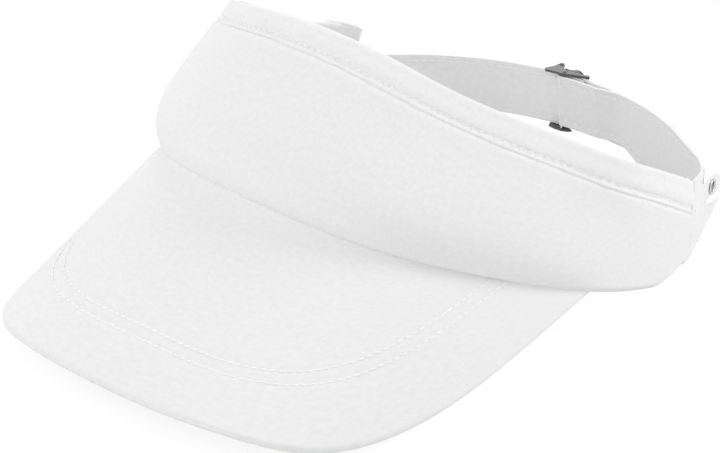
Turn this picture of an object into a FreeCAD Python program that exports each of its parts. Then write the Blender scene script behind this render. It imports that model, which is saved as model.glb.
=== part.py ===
import FreeCAD, Part
import math
import os

# A plain cotton twill sun visor with a metal clamp buckle, lying at rest on its brim and buckle.
# The wearer faces -Y, the wearer's left is +X and +Z is up. Millimetres and degrees.

os.makedirs("parts", exist_ok=True)

# The open head ring, drawn as a smooth egg seen along its own axis
RING_HALF_WIDTH = 89.1
RING_HALF_LENGTH = 91.9
RING_SIDE_FLAT_DEPTH = 1.4
RING_SIDE_FULL_DEPTH = 1.35
RING_FRONT_FLAT_DEPTH = 2.7
RING_CORNER_DEPTH = 0.9

# The crown, the tall front band that runs from end to end round the forehead
CROWN_END_ANGLE = 115.0
CROWN_FRONT_HEIGHT = 63.0
CROWN_END_HEIGHT = 31.0
CROWN_TAPER_POWER = 1.84
CROWN_FRONT_LEAN_ANGLE = 17.0
CROWN_REAR_LEAN_ANGLE = -12.0
CROWN_SWELL = 3.0
CROWN_LOW_SWELL = 4.5
CROWN_FOOT_SWELL = 3.2
CROWN_CORNER_LIFT = 11.0
CROWN_CORNER_SPAN_ANGLE = 20.0
CROWN_CORNER_POWER = 2.5
CROWN_SETTLE_START_ANGLE = 68.0
CROWN_SETTLE_END_ANGLE = 86.0
FAR_END_RISE = 4.5
FAR_RISE_START_ANGLE = 100.0
EDGE_DIP_HEIGHT = -7.3
EDGE_RISE_HEIGHT = 9.95
EDGE_FALL_HEIGHT = -2.37

# Cloth plies of the crown, from the outer face inwards
PLY_GAP = 0.1
FOLD_EASE = 0.2
TWILL_THICK = 0.7
INTERLINING_THICK = 0.5
LINING_THICK = 0.5
TONGUE_THICK = 1.0
TERRY_THICK = 1.2
BINDING_WIDTH = 10.5
HEM_WIDTH_ANGLE = 4.4
SWEATBAND_HEIGHT = 28.0
SWEATBAND_END_ANGLE = 78.0
TONGUE_HEIGHT = 10.0
TONGUE_END_ANGLE = 74.0

# The brim, a stiff board between two cloth covers
BRIM_SIDE_OVERHANG = 0.9
BRIM_HALF_WIDTH = RING_HALF_WIDTH + BRIM_SIDE_OVERHANG
BRIM_BACK_OFFSET = -4.1
BRIM_REACH = 133.3
BRIM_SQUARENESS = 3.68
BRIM_DROOP_ANGLE = 50.0
BRIM_DROOP_EASE_ANGLE = -17.9
BRIM_DROOP_FIRM_ANGLE = 5.3
BRIM_ROLL_DEPTH = 10.8
BRIM_ROLL_LENGTH = 67.5
BRIM_FAR_HOLLOW = 3.0
BRIM_ROOT_GAP = 0.3
COVER_THICK = 0.6
BOARD_THICK = 1.8
BOARD_INSET = 2.4

# The strap's cylinder: everything at the back is wrapped round this axis
AXIS_Y = 5.6
STRAP_RADIUS = 90.0
STRAP_THICK = 1.4
STRAP_WIDTH = 19.5
STRAP_MID_Z = 4.4
STRAP_CLEAR = 0.3
STRAP_TIP_ANGLE = 46.0
STRAP_TIP_ROUND = 3.0
STRAP_SEWN_ANGLE = 173.0
STRAP_TAPER_ANGLE = 142.0
STRAP_TAPER_RISE = 11.25
STRAP_ROW_END_ANGLE = 141.0

# The near tab that holds the buckle
TAB_THICK = 1.0
TAB_ROOT_ANGLE = 13.0
TAB_JOIN_ANGLE = 30.0
TAB_LEVEL_ANGLE = 62.0
TAB_BELLY_START_ANGLE = 47.0
TAB_BELLY_FULL_ANGLE = 65.0
TAB_BELLY_EASE_ANGLE = 75.0
TAB_BELLY_END_ANGLE = 86.0
TAB_RAMP_START_ANGLE = 86.0
TAB_RAMP_END_ANGLE = 93.0
TAB_FLY_LENGTH = 8.0
TAB_WIDTH = 18.5
TAB_BELLY_WIDTH = 5.5
TAB_OFFSET_Z = 1.05
TAB_CLIMB_HEIGHT = 4.0

# The clamp buckle
BAR_ANGLE = 102.0
BAR_RADIUS = 0.6
BUCKLE_HEIGHT = 22.7
BUCKLE_OFFSET_Z = 0.3
PIN_ANGLE = 104.6
PIN_RADIUS = 0.7
PIN_CLEAR = 0.05
KNUCKLE_RADIUS = 1.6
KNUCKLE_CLEAR = 0.35
EAR_THICK = 0.9
EAR_RIM = 0.8
EAR_PIN_RIM = 0.9
EAR_FOOT_RADIUS = 0.7
EAR_FOOT_ANGLE = 97.2
EAR_HEEL_ANGLE = 107.2
EAR_FOOT_HEIGHT = 0.2
FLAP_THICK = 0.8
FLAP_START = 0.5
FLAP_SADDLE = 2.6
FLAP_CREST = 6.0
FLAP_LENGTH = 10.4
FLAP_KNUCKLE_HEIGHT = 3.0
FLAP_SADDLE_HEIGHT = 2.5
FLAP_CREST_HEIGHT = 3.8
FLAP_LIP_HEIGHT = 1.4
LIP_RADIUS = 0.9

# The keeper on the near side, and its eyelet
KEEPER_THICK = 1.0
KEEPER_START_ANGLE = 28.3
KEEPER_END_ANGLE = 50.0
KEEPER_STANDOFF = 1.2
KEEPER_FOOT_HEIGHT = -5.0
KEEPER_HEM_HEIGHT = 5.0
KEEPER_END_DROP = 6.5
KEEPER_END_RISE = 2.5
KEEPER_EAR = 4.6
KEEPER_EAR_ANGLE = 43.0
KEEPER_EAR_SPAN_ANGLE = 5.0
KEEPER_LIFT = 5.6
KEEPER_LIFT_START_ANGLE = 39.5
KEEPER_LIFT_END_ANGLE = 48.0
KEEPER_LIFT_FOOT = 12.0
EYELET_ANGLE = 43.0
EYELET_RISE = 4.6
EYELET_TURN_ANGLE = 28.0
EYELET_HOLE = 2.4
EYELET_WALL = 0.35
EYELET_FLANGE = 3.5
EYELET_NIP = 0.35
FLANGE_THICK = 0.4
WASHER_THICK = 0.3

# Sewing thread, laid as narrow raised rows
THREAD_WIDTH = 0.6
THREAD_RAISE = 0.25
THREAD_OFF = 0.1
BRIM_ROWS = (14.6, 11.9)
TAB_ROW_INSET = 2.2
STRAP_ROW_INSET = 2.2
BINDING_ROW_INSET = 2.3

# How the pieces stand: the ring tips back on the strap, then all of it settles on the table
RING_TILT_ANGLE = 17.4
REST_TILT_ANGLE = 4.25
REST_Y = 25.55
REST_Z = 17.82


def sin_d(angle):
    return math.sin(math.radians(angle))


def cos_d(angle):
    return math.cos(math.radians(angle))


def ease(value, start, end):
    share = min(max((value - start) / (end - start), 0.0), 1.0)
    return share * share * (3.0 - 2.0 * share)


def spread(start, end, count):
    return [start + (end - start) * i / (count - 1) for i in range(count)]


# ---------------------------------------------------------------- building sheets

def skin(rows):
    surface = Part.BSplineSurface()
    surface.interpolate(rows)
    return surface


def sheet(point, across, along, outer, inner):
    """A closed sheet of cloth or metal between the two faces outer and inner of one formula."""
    faces = [skin([[point(u, v, side) for v in along] for u in across]) for side in (outer, inner)]
    top, under = faces
    shells = [top.toShape(), under.toShape()]
    u0, u1, v0, v1 = top.bounds()
    for value in (u0, u1):
        shells.append(Part.makeRuledSurface(top.uIso(value).toShape(), under.uIso(value).toShape()))
    for value in (v0, v1):
        shells.append(Part.makeRuledSurface(top.vIso(value).toShape(), under.vIso(value).toShape()))
    return closed(shells)


def closed(faces):
    solid = Part.makeSolid(Part.makeShell(faces))
    solid.sewShape()
    solid = Part.makeSolid(Part.Shell(solid.Faces))
    if solid.Volume < 0:
        solid.reverse()
    return solid


def through(places, along):
    curve = Part.BSplineCurve()
    curve.interpolate(Points=places, Parameters=along)
    return curve


def strip(first, second):
    """The face swept by a straight line between two smooth lines that share their knots."""
    face = Part.BSplineSurface()
    face.buildFromPolesMultsKnots([first.getPoles(), second.getPoles()], [2, 2], first.getMultiplicities(),
                                  [0, 1], first.getKnots(), False, False, 1, first.Degree)
    return face.toShape()


def spans(curve, breaks):
    """One smooth line cut into lengths at the given marks, without changing its shape."""
    lengths = []
    for first, second in zip(breaks, breaks[1:]):
        length = curve.copy()
        length.segment(first, second)
        lengths.append(length)
    return lengths


def folded_sheet(point, across, along, outer, inner, turns=()):
    """A closed sheet that turns sharply: smooth lines run across it, joined by straight strips."""
    middle = [point(u, along[0], (outer + inner) / 2) for u in across]
    marks = [0.0]
    for first, second in zip(middle, middle[1:]):
        marks.append(marks[-1] + (second - first).Length)
    breaks = [0.0] + [marks[across.index(u)] for u in turns] + [marks[-1]]
    lines = [[spans(through([point(u, v, side) for u in across], marks), breaks) for v in along]
             for side in (outer, inner)]
    faces = []
    for k in range(len(breaks) - 1):
        for side in (0, 1):
            for first, second in zip(lines[side], lines[side][1:]):
                faces.append(strip(first[k], second[k]))
        for edge in (0, -1):
            faces.append(strip(lines[0][edge][k], lines[1][edge][k]))
    for u in (across[0], across[-1]):
        rims = [[point(u, v, side) for v in along] for side in (outer, inner)]
        for k in range(len(along) - 1):
            faces.append(patch(rims[0][k], rims[0][k + 1], rims[1][k + 1], rims[1][k]))
    return closed(faces)


def patch(a, b, c, d):
    """A four-cornered end face."""
    face = Part.BSplineSurface()
    face.buildFromPolesMultsKnots([[a, b], [d, c]], [2, 2], [2, 2], [0, 1], [0, 1], False, False, 1, 1)
    return face.toShape()


# ---------------------------------------------------------------- the crown's own surface

def ring_plan(a):
    x = RING_HALF_WIDTH * sin_d(a)
    x += RING_SIDE_FULL_DEPTH * sin_d(5 * a) - RING_SIDE_FLAT_DEPTH * sin_d(3 * a)
    y = -RING_HALF_LENGTH * cos_d(a)
    y += RING_FRONT_FLAT_DEPTH * cos_d(3 * a) + RING_CORNER_DEPTH * cos_d(4 * a)
    return x, y


def ring_outwards(a):
    dx = RING_HALF_WIDTH * cos_d(a)
    dx += 5 * RING_SIDE_FULL_DEPTH * cos_d(5 * a) - 3 * RING_SIDE_FLAT_DEPTH * cos_d(3 * a)
    dy = RING_HALF_LENGTH * sin_d(a)
    dy -= 3 * RING_FRONT_FLAT_DEPTH * sin_d(3 * a) + 4 * RING_CORNER_DEPTH * sin_d(4 * a)
    length = math.hypot(dx, dy)
    return dy / length, -dx / length


def ring_edge(a):
    rise = 1.0 - cos_d(a)
    return EDGE_DIP_HEIGHT * rise + EDGE_RISE_HEIGHT * rise ** 2 + EDGE_FALL_HEIGHT * rise ** 3


def crown_height(a):
    """Tallest in front; the far end stands a little higher because the ring is slightly twisted."""
    share = (abs(a) / CROWN_END_ANGLE) ** CROWN_TAPER_POWER
    rise = FAR_END_RISE * ease(-a, FAR_RISE_START_ANGLE, CROWN_END_ANGLE)
    return CROWN_FRONT_HEIGHT + (CROWN_END_HEIGHT - CROWN_FRONT_HEIGHT) * share + rise


def corner_lift(a):
    """The lower corner at each end of the crown is rounded off."""
    into = max(abs(a) - (CROWN_END_ANGLE - CROWN_CORNER_SPAN_ANGLE), 0.0) / CROWN_CORNER_SPAN_ANGLE
    return CROWN_CORNER_LIFT * into ** CROWN_CORNER_POWER


def tip(x, y, z):
    """The ring's own axes to the strap's axes."""
    turn_cos = cos_d(RING_TILT_ANGLE)
    turn_sin = sin_d(RING_TILT_ANGLE)
    return FreeCAD.Vector(x, y * turn_cos + z * turn_sin, z * turn_cos - y * turn_sin)


def panel_radius():
    """The crown's outer face at its ends, just clear of the strap and every ply between."""
    plies = TWILL_THICK + INTERLINING_THICK + LINING_THICK + TWILL_THICK + 5 * PLY_GAP
    return STRAP_RADIUS + STRAP_THICK / 2 + STRAP_CLEAR + plies


def settle(place, a, off):
    """The last part of each side comes on to the cylinder that the strap runs round."""
    radius = math.hypot(place.x, place.y - AXIS_Y)
    share = ease(abs(a), CROWN_SETTLE_START_ANGLE, CROWN_SETTLE_END_ANGLE)
    scale = 1.0 + share * ((panel_radius() + off) / radius - 1.0)
    return FreeCAD.Vector(place.x * scale, AXIS_Y + (place.y - AXIS_Y) * scale, place.z)


def crown_point(a, height, off):
    share = height / crown_height(a)
    lean = CROWN_REAR_LEAN_ANGLE + (CROWN_FRONT_LEAN_ANGLE - CROWN_REAR_LEAN_ANGLE) * (1 + cos_d(a)) / 2
    belly = CROWN_SWELL * 4 * share * (1 - share) + CROWN_LOW_SWELL * 6.75 * share * (1 - share) ** 2
    belly += CROWN_FOOT_SWELL * 12.2 * share * (1 - share) ** 4
    out = belly * (1 + cos_d(a)) / 2 - height * sin_d(lean) + off
    x, y = ring_plan(a)
    nx, ny = ring_outwards(a)
    place = tip(x + nx * out, y + ny * out, ring_edge(a) + height * cos_d(lean))
    return settle(place, a, off)


def crown_ply(outer, thick, end, foot, head, steps=47):
    """One ply of the crown. Foot and head are its lower and upper margins from the crown's edges."""
    def point(a, share, off):
        low = foot + corner_lift(a)
        high = crown_height(a) - head
        return crown_point(a, low + (high - low) * share, off)
    return sheet(point, spread(-end, end, steps), spread(0.0, 1.0, 7), outer, outer - thick)


def front_panel():
    return crown_ply(0.0, TWILL_THICK, CROWN_END_ANGLE, 0.0, 0.0)


def crown_interlining():
    return crown_ply(-TWILL_THICK - PLY_GAP, INTERLINING_THICK, CROWN_END_ANGLE - 1, 1.0, 0.3)


def lining_face():
    return -TWILL_THICK - INTERLINING_THICK - 2 * PLY_GAP


def crown_lining():
    return crown_ply(lining_face(), LINING_THICK, CROWN_END_ANGLE - 0.8, 0.4, 0.5)


def inner_face():
    return lining_face() - LINING_THICK - PLY_GAP


def brim_tongue():
    def point(a, share, off):
        return crown_point(a, 0.4 + (TONGUE_HEIGHT - 0.4) * share, off)
    stations = spread(-TONGUE_END_ANGLE, TONGUE_END_ANGLE, 31)
    return sheet(point, stations, spread(0, 1, 4), inner_face(), inner_face() - TONGUE_THICK)


def sweatband():
    outer = inner_face() - TONGUE_THICK - PLY_GAP
    def point(a, share, off):
        return crown_point(a, 0.2 + (SWEATBAND_HEIGHT - 0.2) * share, off)
    stations = spread(-SWEATBAND_END_ANGLE, SWEATBAND_END_ANGLE, 33)
    return sheet(point, stations, spread(0, 1, 6), outer, outer - TERRY_THICK)


def folded(share, out_leg, in_leg, wide):
    """A fold seen end on: how far along from the edge, and how far out, for a share of its length."""
    middle = (out_leg + in_leg) / 2
    half = (out_leg - in_leg) / 2
    if share < 0.4:
        return wide * (0.4 - share) / 0.4, out_leg
    if share > 0.6:
        return wide * (share - 0.6) / 0.4, in_leg
    turn = 180.0 * (share - 0.4) / 0.2
    return -half * sin_d(turn), middle + half * cos_d(turn)


FOLD_STEPS = [0.0, 0.2, 0.36, 0.4, 0.45, 0.5, 0.55, 0.6, 0.64, 0.8, 1.0]


def top_binding():
    """The strip folded over the crown's top edge, one leg outside and one leg inside."""
    def point(a, share, layer):
        down, off = folded(share, FOLD_EASE + layer, inner_face() - PLY_GAP - layer, BINDING_WIDTH)
        return crown_point(a, crown_height(a) - down, off)
    end = CROWN_END_ANGLE - HEM_WIDTH_ANGLE - 0.2
    return folded_sheet(point, spread(-end, end, 45), FOLD_STEPS, TWILL_THICK, 0.0)


def end_hem(side):
    """The turned edge that closes each end of the crown, wrapped round from outside to inside."""
    def point(height, share, layer):
        back, off = folded(share, FOLD_EASE + layer, inner_face() - PLY_GAP - layer, HEM_WIDTH_ANGLE)
        angle = side * (CROWN_END_ANGLE - back * (1.0 if share < 0.5 else 0.8))
        low = corner_lift(angle)
        return crown_point(angle, low + (crown_height(angle) + 0.6 - low) * height, off)
    heights = [0.0, 0.25, 0.5, 0.75, 1.0]
    return folded_sheet(point, heights, FOLD_STEPS, TWILL_THICK, 0.0)


# ---------------------------------------------------------------- the brim

def angle_at(x):
    """The place round the ring whose lower edge lies x from the middle."""
    low = 0.0
    high = 90.0
    for step in range(40):
        middle = (low + high) / 2
        if ring_plan(middle)[0] < abs(x):
            low = middle
        else:
            high = middle
    return low


def brim_height(x, y):
    a = angle_at(x)
    forward = ring_plan(a)[1] - y
    wide = (x / (0.9 * BRIM_HALF_WIDTH)) ** 2
    droop = BRIM_DROOP_ANGLE + BRIM_DROOP_EASE_ANGLE * wide + BRIM_DROOP_FIRM_ANGLE * wide ** 2
    onwards = min(max(forward / BRIM_ROLL_LENGTH, 0.0), 1.0)
    roll = BRIM_ROLL_DEPTH * (max(forward, 0.0) / BRIM_ROLL_LENGTH) ** 2
    if x < 0:
        roll += BRIM_FAR_HOLLOW * wide * 4 * onwards * (1 - onwards)
    return ring_edge(a) - forward * math.tan(math.radians(droop)) - roll


def brim_point(x, y, down):
    step = 0.05
    slope_x = (brim_height(x + step, y) - brim_height(x - step, y)) / (2 * step)
    slope_y = (brim_height(x, y + step) - brim_height(x, y - step)) / (2 * step)
    length = math.sqrt(1 + slope_x ** 2 + slope_y ** 2)
    z = brim_height(x, y)
    return tip(x + down * slope_x / length, y + down * slope_y / length, z - down / length)


def brim_outline(turn, inset):
    """The brim's edge seen along the ring's axis, a rounded square-shouldered curve."""
    power = 2.0 / BRIM_SQUARENESS
    x = (BRIM_HALF_WIDTH - inset) * abs(sin_d(turn)) ** power
    y = BRIM_BACK_OFFSET - (BRIM_REACH - inset) * cos_d(turn) ** power
    return math.copysign(x, turn), y


BRIM_TURNS = [-87.4, -86.2, -84, -80, -75, -68, -60, -50, -40, -30, -20, -10, 0,
              10, 20, 30, 40, 50, 60, 68, 75, 80, 84, 86.2, 87.4]


def brim_layer(down, thick, inset, root):
    def point(turn, share, depth):
        x, y = brim_outline(turn, inset)
        back = ring_plan(angle_at(x))[1] - root
        return brim_point(x, back + (y - back) * share, depth)
    return sheet(point, BRIM_TURNS, spread(0.0, 1.0, 7), down, down + thick)


def brim_top_cover():
    return brim_layer(0.0, COVER_THICK, 0.0, BRIM_ROOT_GAP)


def brim_board():
    return brim_layer(COVER_THICK + PLY_GAP, BOARD_THICK, BOARD_INSET, 1.2)


def brim_under_cover():
    return brim_layer(COVER_THICK + BOARD_THICK + 2 * PLY_GAP, COVER_THICK, 0.0, BRIM_ROOT_GAP)


def brim_edge_seam():
    """The turned-in seam of both covers, a narrow roll between them outside the board."""
    def point(turn, share, depth):
        x, y = brim_outline(turn, 0.1 + (BOARD_INSET - 0.4) * share)
        return brim_point(x, y, depth)
    top = COVER_THICK + PLY_GAP
    return sheet(point, BRIM_TURNS, spread(0.0, 1.0, 3), top, top + BOARD_THICK)


# ---------------------------------------------------------------- the strap's cylinder

UP = FreeCAD.Vector(0, 0, 1)


def wrap(phi, radius, z):
    """A place on the strap's cylinder, phi degrees round from the wearer's left."""
    return FreeCAD.Vector(radius * cos_d(phi), AXIS_Y + radius * sin_d(phi), z)


def arc_angle(length, radius):
    return math.degrees(length / radius)


def turned_block(start, end, inner, outer, low, high):
    """A block of rectangular section, turned round the strap's axis from start to end."""
    outline = ((inner, low), (outer, low), (outer, high), (inner, high))
    corners = [wrap(start, radius, z) for radius, z in outline]
    face = Part.Face(Part.makePolygon(corners + corners[:1]))
    return face.revolve(wrap(0, 0, 0), UP, end - start)


def strap_low():
    return STRAP_MID_Z - STRAP_WIDTH / 2


def strap_high():
    return STRAP_MID_Z + STRAP_WIDTH / 2


def strap_face():
    return STRAP_RADIUS + STRAP_THICK / 2


def strap_back():
    return STRAP_RADIUS - STRAP_THICK / 2


def taper_wedge():
    """What is cut away under the sewn end, so that it stays above the crown's rising lower edge."""
    half = (STRAP_SEWN_ANGLE - STRAP_TAPER_ANGLE) / 2
    middle = STRAP_TAPER_ANGLE + half
    reach = STRAP_RADIUS * sin_d(half)
    outwards = FreeCAD.Vector(cos_d(middle), sin_d(middle), 0)
    onwards = FreeCAD.Vector(-sin_d(middle), cos_d(middle), 0)
    foot = wrap(middle, STRAP_RADIUS - 10 * STRAP_THICK, strap_low())
    over = 1.2
    rise = STRAP_TAPER_RISE * (1 + over) / 2
    drop = -STRAP_WIDTH / 2
    shape = ((-reach, 0.0), (reach * over, rise), (reach * over, drop), (-reach, drop))
    corners = [foot + onwards * along + UP * up for along, up in shape]
    return Part.Face(Part.makePolygon(corners + corners[:1])).extrude(outwards * 20 * STRAP_THICK)


def adjusting_strap():
    low = strap_low()
    high = strap_high()
    strap = turned_block(STRAP_TIP_ANGLE, STRAP_SEWN_ANGLE, strap_back(), strap_face(), low, high)
    corners = []
    for z in (low, high):
        end = wrap(STRAP_TIP_ANGLE, STRAP_RADIUS, z)
        corners += [edge for edge in strap.Edges if (edge.CenterOfMass - end).Length < STRAP_THICK / 4]
    return strap.makeFillet(STRAP_TIP_ROUND, corners).cut(taper_wedge())


def tab_outer_radius():
    return strap_back() - STRAP_CLEAR


def bar_centre_radius():
    return tab_outer_radius() - TAB_THICK - BAR_RADIUS - PLY_GAP


def tab_belly(phi):
    """The tab's lower edge swings down in a belly where it leaves the crown's shelter."""
    swing = ease(phi, TAB_BELLY_START_ANGLE, TAB_BELLY_FULL_ANGLE)
    return TAB_BELLY_WIDTH * swing * (1 - ease(phi, TAB_BELLY_EASE_ANGLE, TAB_BELLY_END_ANGLE))


def tab_width(phi):
    return TAB_WIDTH + tab_belly(phi)


def tab_rise(phi):
    """The tab climbs a little where it runs in behind the crown."""
    climb = TAB_CLIMB_HEIGHT * (1 - ease(phi, TAB_JOIN_ANGLE, TAB_LEVEL_ANGLE))
    return TAB_OFFSET_Z + climb - tab_belly(phi) / 2


def tab_leg_radius(phi):
    inner = bar_centre_radius() - BAR_RADIUS - PLY_GAP - TAB_THICK / 2
    outer = tab_outer_radius() - TAB_THICK / 2
    return outer + (inner - outer) * ease(phi, TAB_RAMP_START_ANGLE, TAB_RAMP_END_ANGLE)


LEG_END = 0.8
FLY_START = 0.9
LEG_SHARES = spread(0.0, 0.50, 13) + spread(0.53, 0.63, 7) + spread(0.65, 0.72, 7) + [0.745, 0.77]


def tab_line(share):
    """The tab seen from above: along its inner leg, round the bar, then back along its fly."""
    ring = BAR_RADIUS + PLY_GAP + TAB_THICK / 2
    if share <= LEG_END:
        phi = TAB_ROOT_ANGLE + (BAR_ANGLE - TAB_ROOT_ANGLE) * share / LEG_END
        return phi, tab_leg_radius(phi)
    if share < FLY_START:
        turn = 180.0 * (share - LEG_END) / (FLY_START - LEG_END)
        phi = BAR_ANGLE + arc_angle(ring * sin_d(turn), bar_centre_radius())
        return phi, bar_centre_radius() - ring * cos_d(turn)
    fly = arc_angle(TAB_FLY_LENGTH, bar_centre_radius())
    return BAR_ANGLE - fly * (share - FLY_START) / (1 - FLY_START), bar_centre_radius() + ring


def tab_normal(share):
    step = 0.002
    before = wrap(*tab_line(max(share - step, 0.0)), 0.0)
    after = wrap(*tab_line(min(share + step, 1.0)), 0.0)
    along = after - before
    along.normalize()
    return FreeCAD.Vector(along.y, -along.x, 0.0)


def tab_place(share, up, side):
    phi, radius = tab_line(share)
    return wrap(phi, radius, STRAP_MID_Z + tab_rise(phi) + up) + tab_normal(share) * side


def buckle_tab():
    def point(share, height, side):
        return tab_place(share, tab_width(tab_line(share)[0]) * (height - 0.5), side)
    fold = [LEG_END, 0.8167, 0.8333, 0.85, 0.8667, 0.8833, FLY_START]
    shares = LEG_SHARES + [0.79] + fold + [0.91, 0.95, 1.0]
    turns = [LEG_SHARES[6], LEG_SHARES[12], LEG_SHARES[19], LEG_SHARES[26]]
    turns += [LEG_SHARES[-1], LEG_END, FLY_START]
    return folded_sheet(point, shares, [0.0, 1.0], TAB_THICK / 2, -TAB_THICK / 2, turns)


def upright(phi, radius, rod, low, high):
    """An upright rod on the strap's cylinder."""
    return Part.makeCylinder(rod, high - low, wrap(phi, radius, low), UP)


def buckle_low():
    return STRAP_MID_Z + BUCKLE_OFFSET_Z - BUCKLE_HEIGHT / 2


def buckle_high():
    return STRAP_MID_Z + BUCKLE_OFFSET_Z + BUCKLE_HEIGHT / 2


def pin_centre_radius():
    return strap_face() + KNUCKLE_CLEAR + KNUCKLE_RADIUS


def ear_plate(low):
    """One side plate: a lug for the bar, a lug for the pin, and a long foot beside the strap's edge."""
    foot = strap_face() + EAR_FOOT_HEIGHT
    places = [(BAR_ANGLE, bar_centre_radius(), BAR_RADIUS + EAR_RIM),
              (EAR_FOOT_ANGLE, foot, EAR_FOOT_RADIUS),
              (PIN_ANGLE, pin_centre_radius(), PIN_RADIUS + EAR_PIN_RIM),
              (EAR_HEEL_ANGLE, foot, EAR_FOOT_RADIUS)]
    discs = [upright(phi, radius, rod, low, low + EAR_THICK) for phi, radius, rod in places]
    plate = discs[0]
    for i in range(4):
        plate = plate.fuse(web(places[i], places[(i + 1) % 4], low))
        plate = plate.fuse(discs[i])
    middle = [wrap(phi, radius, low) for phi, radius, rod in places]
    core = Part.Face(Part.makePolygon(middle + [middle[0]])).extrude(UP * EAR_THICK)
    return plate.fuse(core).removeSplitter()


def web(first, second, low):
    """The straight-sided part of the plate between two of its rounded lugs."""
    p = wrap(first[0], first[1], low)
    q = wrap(second[0], second[1], low)
    along = q - p
    gap = along.Length
    along.normalize()
    slant = math.asin((first[2] - second[2]) / gap)
    corners = []
    for side in (1, -1):
        turn = FreeCAD.Rotation(UP, side * (90 - math.degrees(slant)))
        away = turn.multVec(along)
        corners.append((p + away * first[2], q + away * second[2]))
    (a, b), (c, d) = corners
    return Part.Face(Part.makePolygon([a, b, d, c, a])).extrude(UP * EAR_THICK)


def buckle_frame():
    """Two side plates, held apart by the tab's bar and the lever's pin, which are riveted into them."""
    low = buckle_low()
    high = buckle_high()
    plates = [ear_plate(low), ear_plate(high - EAR_THICK)]
    for phi, radius, rod in ((BAR_ANGLE, bar_centre_radius(), BAR_RADIUS),
                             (PIN_ANGLE, pin_centre_radius(), PIN_RADIUS)):
        plates = [plate.cut(upright(phi, radius, rod, low - 1, high + 1)) for plate in plates]
    return Part.makeCompound([plate.removeSplitter() for plate in plates])


def tab_bar():
    return upright(BAR_ANGLE, bar_centre_radius(), BAR_RADIUS, buckle_low() + 0.1, buckle_high() - 0.1)


def lever_pin():
    return upright(PIN_ANGLE, pin_centre_radius(), PIN_RADIUS, buckle_low() + 0.1, buckle_high() - 0.1)


def flap_height(back):
    """How far the flap's middle stands off the strap: a saddle, a thumb crest, down to the lip."""
    saddle = (FLAP_KNUCKLE_HEIGHT - FLAP_SADDLE_HEIGHT) * ease(back, FLAP_START, FLAP_SADDLE)
    crest = (FLAP_CREST_HEIGHT - FLAP_SADDLE_HEIGHT) * ease(back, FLAP_SADDLE, FLAP_CREST)
    fall = (FLAP_CREST_HEIGHT - FLAP_LIP_HEIGHT) * ease(back, FLAP_CREST, FLAP_LENGTH)
    return FLAP_KNUCKLE_HEIGHT - saddle + crest - fall


def flap_angle(back):
    return PIN_ANGLE - arc_angle(back, STRAP_RADIUS)


def lever_flap(low, high):
    def point(back, share, side):
        radius = strap_face() + flap_height(back) + side
        return wrap(flap_angle(back), radius, low + (high - low) * share)
    stations = spread(FLAP_START, FLAP_LENGTH, 13)
    return sheet(point, stations, [0.0, 0.5, 1.0], FLAP_THICK / 2, -FLAP_THICK / 2)


def buckle_lever():
    low = buckle_low() + EAR_THICK + 0.3
    high = buckle_high() - EAR_THICK - 0.3
    knuckle = upright(PIN_ANGLE, pin_centre_radius(), KNUCKLE_RADIUS, low, high)
    lip = upright(flap_angle(FLAP_LENGTH), strap_face() + FLAP_LIP_HEIGHT, LIP_RADIUS, low, high)
    lever = knuckle.fuse(lever_flap(low, high)).fuse(lip)
    return lever.cut(upright(PIN_ANGLE, pin_centre_radius(), PIN_RADIUS + PIN_CLEAR, low - 1, high + 1))


# ---------------------------------------------------------------- the keeper and its eyelet

def keeper_inner_radius():
    return strap_face() + KEEPER_STANDOFF


def keeper_lift(phi, up):
    """The keeper's free end stands away from the strap, most at its top."""
    onwards = ease(phi, KEEPER_LIFT_START_ANGLE, KEEPER_LIFT_END_ANGLE)
    return KEEPER_LIFT * onwards * ease(up, -KEEPER_LIFT_FOOT, 0.0)


def keeper_low(phi):
    return KEEPER_FOOT_HEIGHT + KEEPER_END_RISE * ease(phi, EYELET_ANGLE, KEEPER_END_ANGLE)


def keeper_high(phi):
    """Low behind the hem, up over the eyelet in a rounded ear, then down again to its free end."""
    ear = math.exp(-((phi - KEEPER_EAR_ANGLE) / KEEPER_EAR_SPAN_ANGLE) ** 4)
    drop = KEEPER_END_DROP * ease(phi, KEEPER_EAR_ANGLE, KEEPER_END_ANGLE)
    return KEEPER_HEM_HEIGHT + KEEPER_EAR * ear - drop


def eyelet_rod(rod, start, end):
    """A round rod through the keeper at the eyelet, from start to end off the middle of the cloth."""
    lift = keeper_lift(EYELET_ANGLE, EYELET_RISE)
    radius = keeper_inner_radius() + lift + KEEPER_THICK / 2
    middle = wrap(EYELET_ANGLE, radius, STRAP_MID_Z + EYELET_RISE)
    facing = EYELET_ANGLE - EYELET_TURN_ANGLE
    outwards = FreeCAD.Vector(cos_d(facing), sin_d(facing), 0)
    return Part.makeCylinder(rod, end - start, middle + outwards * start, outwards)


def tail_keeper():
    def point(phi, share, layer):
        up = keeper_low(phi) + (keeper_high(phi) - keeper_low(phi)) * share
        return wrap(phi, keeper_inner_radius() + keeper_lift(phi, up) + layer, STRAP_MID_Z + up)
    stations = spread(KEEPER_START_ANGLE, KEEPER_END_ANGLE, 15)
    return sheet(point, stations, spread(0, 1, 6), KEEPER_THICK, 0.0).cut(eyelet_seat())


def eyelet_seat():
    """The hole in the cloth, and the shallow rings where flange and washer nip it."""
    hole = eyelet_rod(EYELET_HOLE + EYELET_WALL + 0.05, -4.0, 4.0)
    outside = eyelet_rod(EYELET_FLANGE + 0.05, EYELET_NIP - 0.02, 4.0)
    inside = eyelet_rod(EYELET_FLANGE + 0.05, -4.0, 0.02 - EYELET_NIP)
    return hole.fuse(outside).fuse(inside).removeSplitter()


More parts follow.
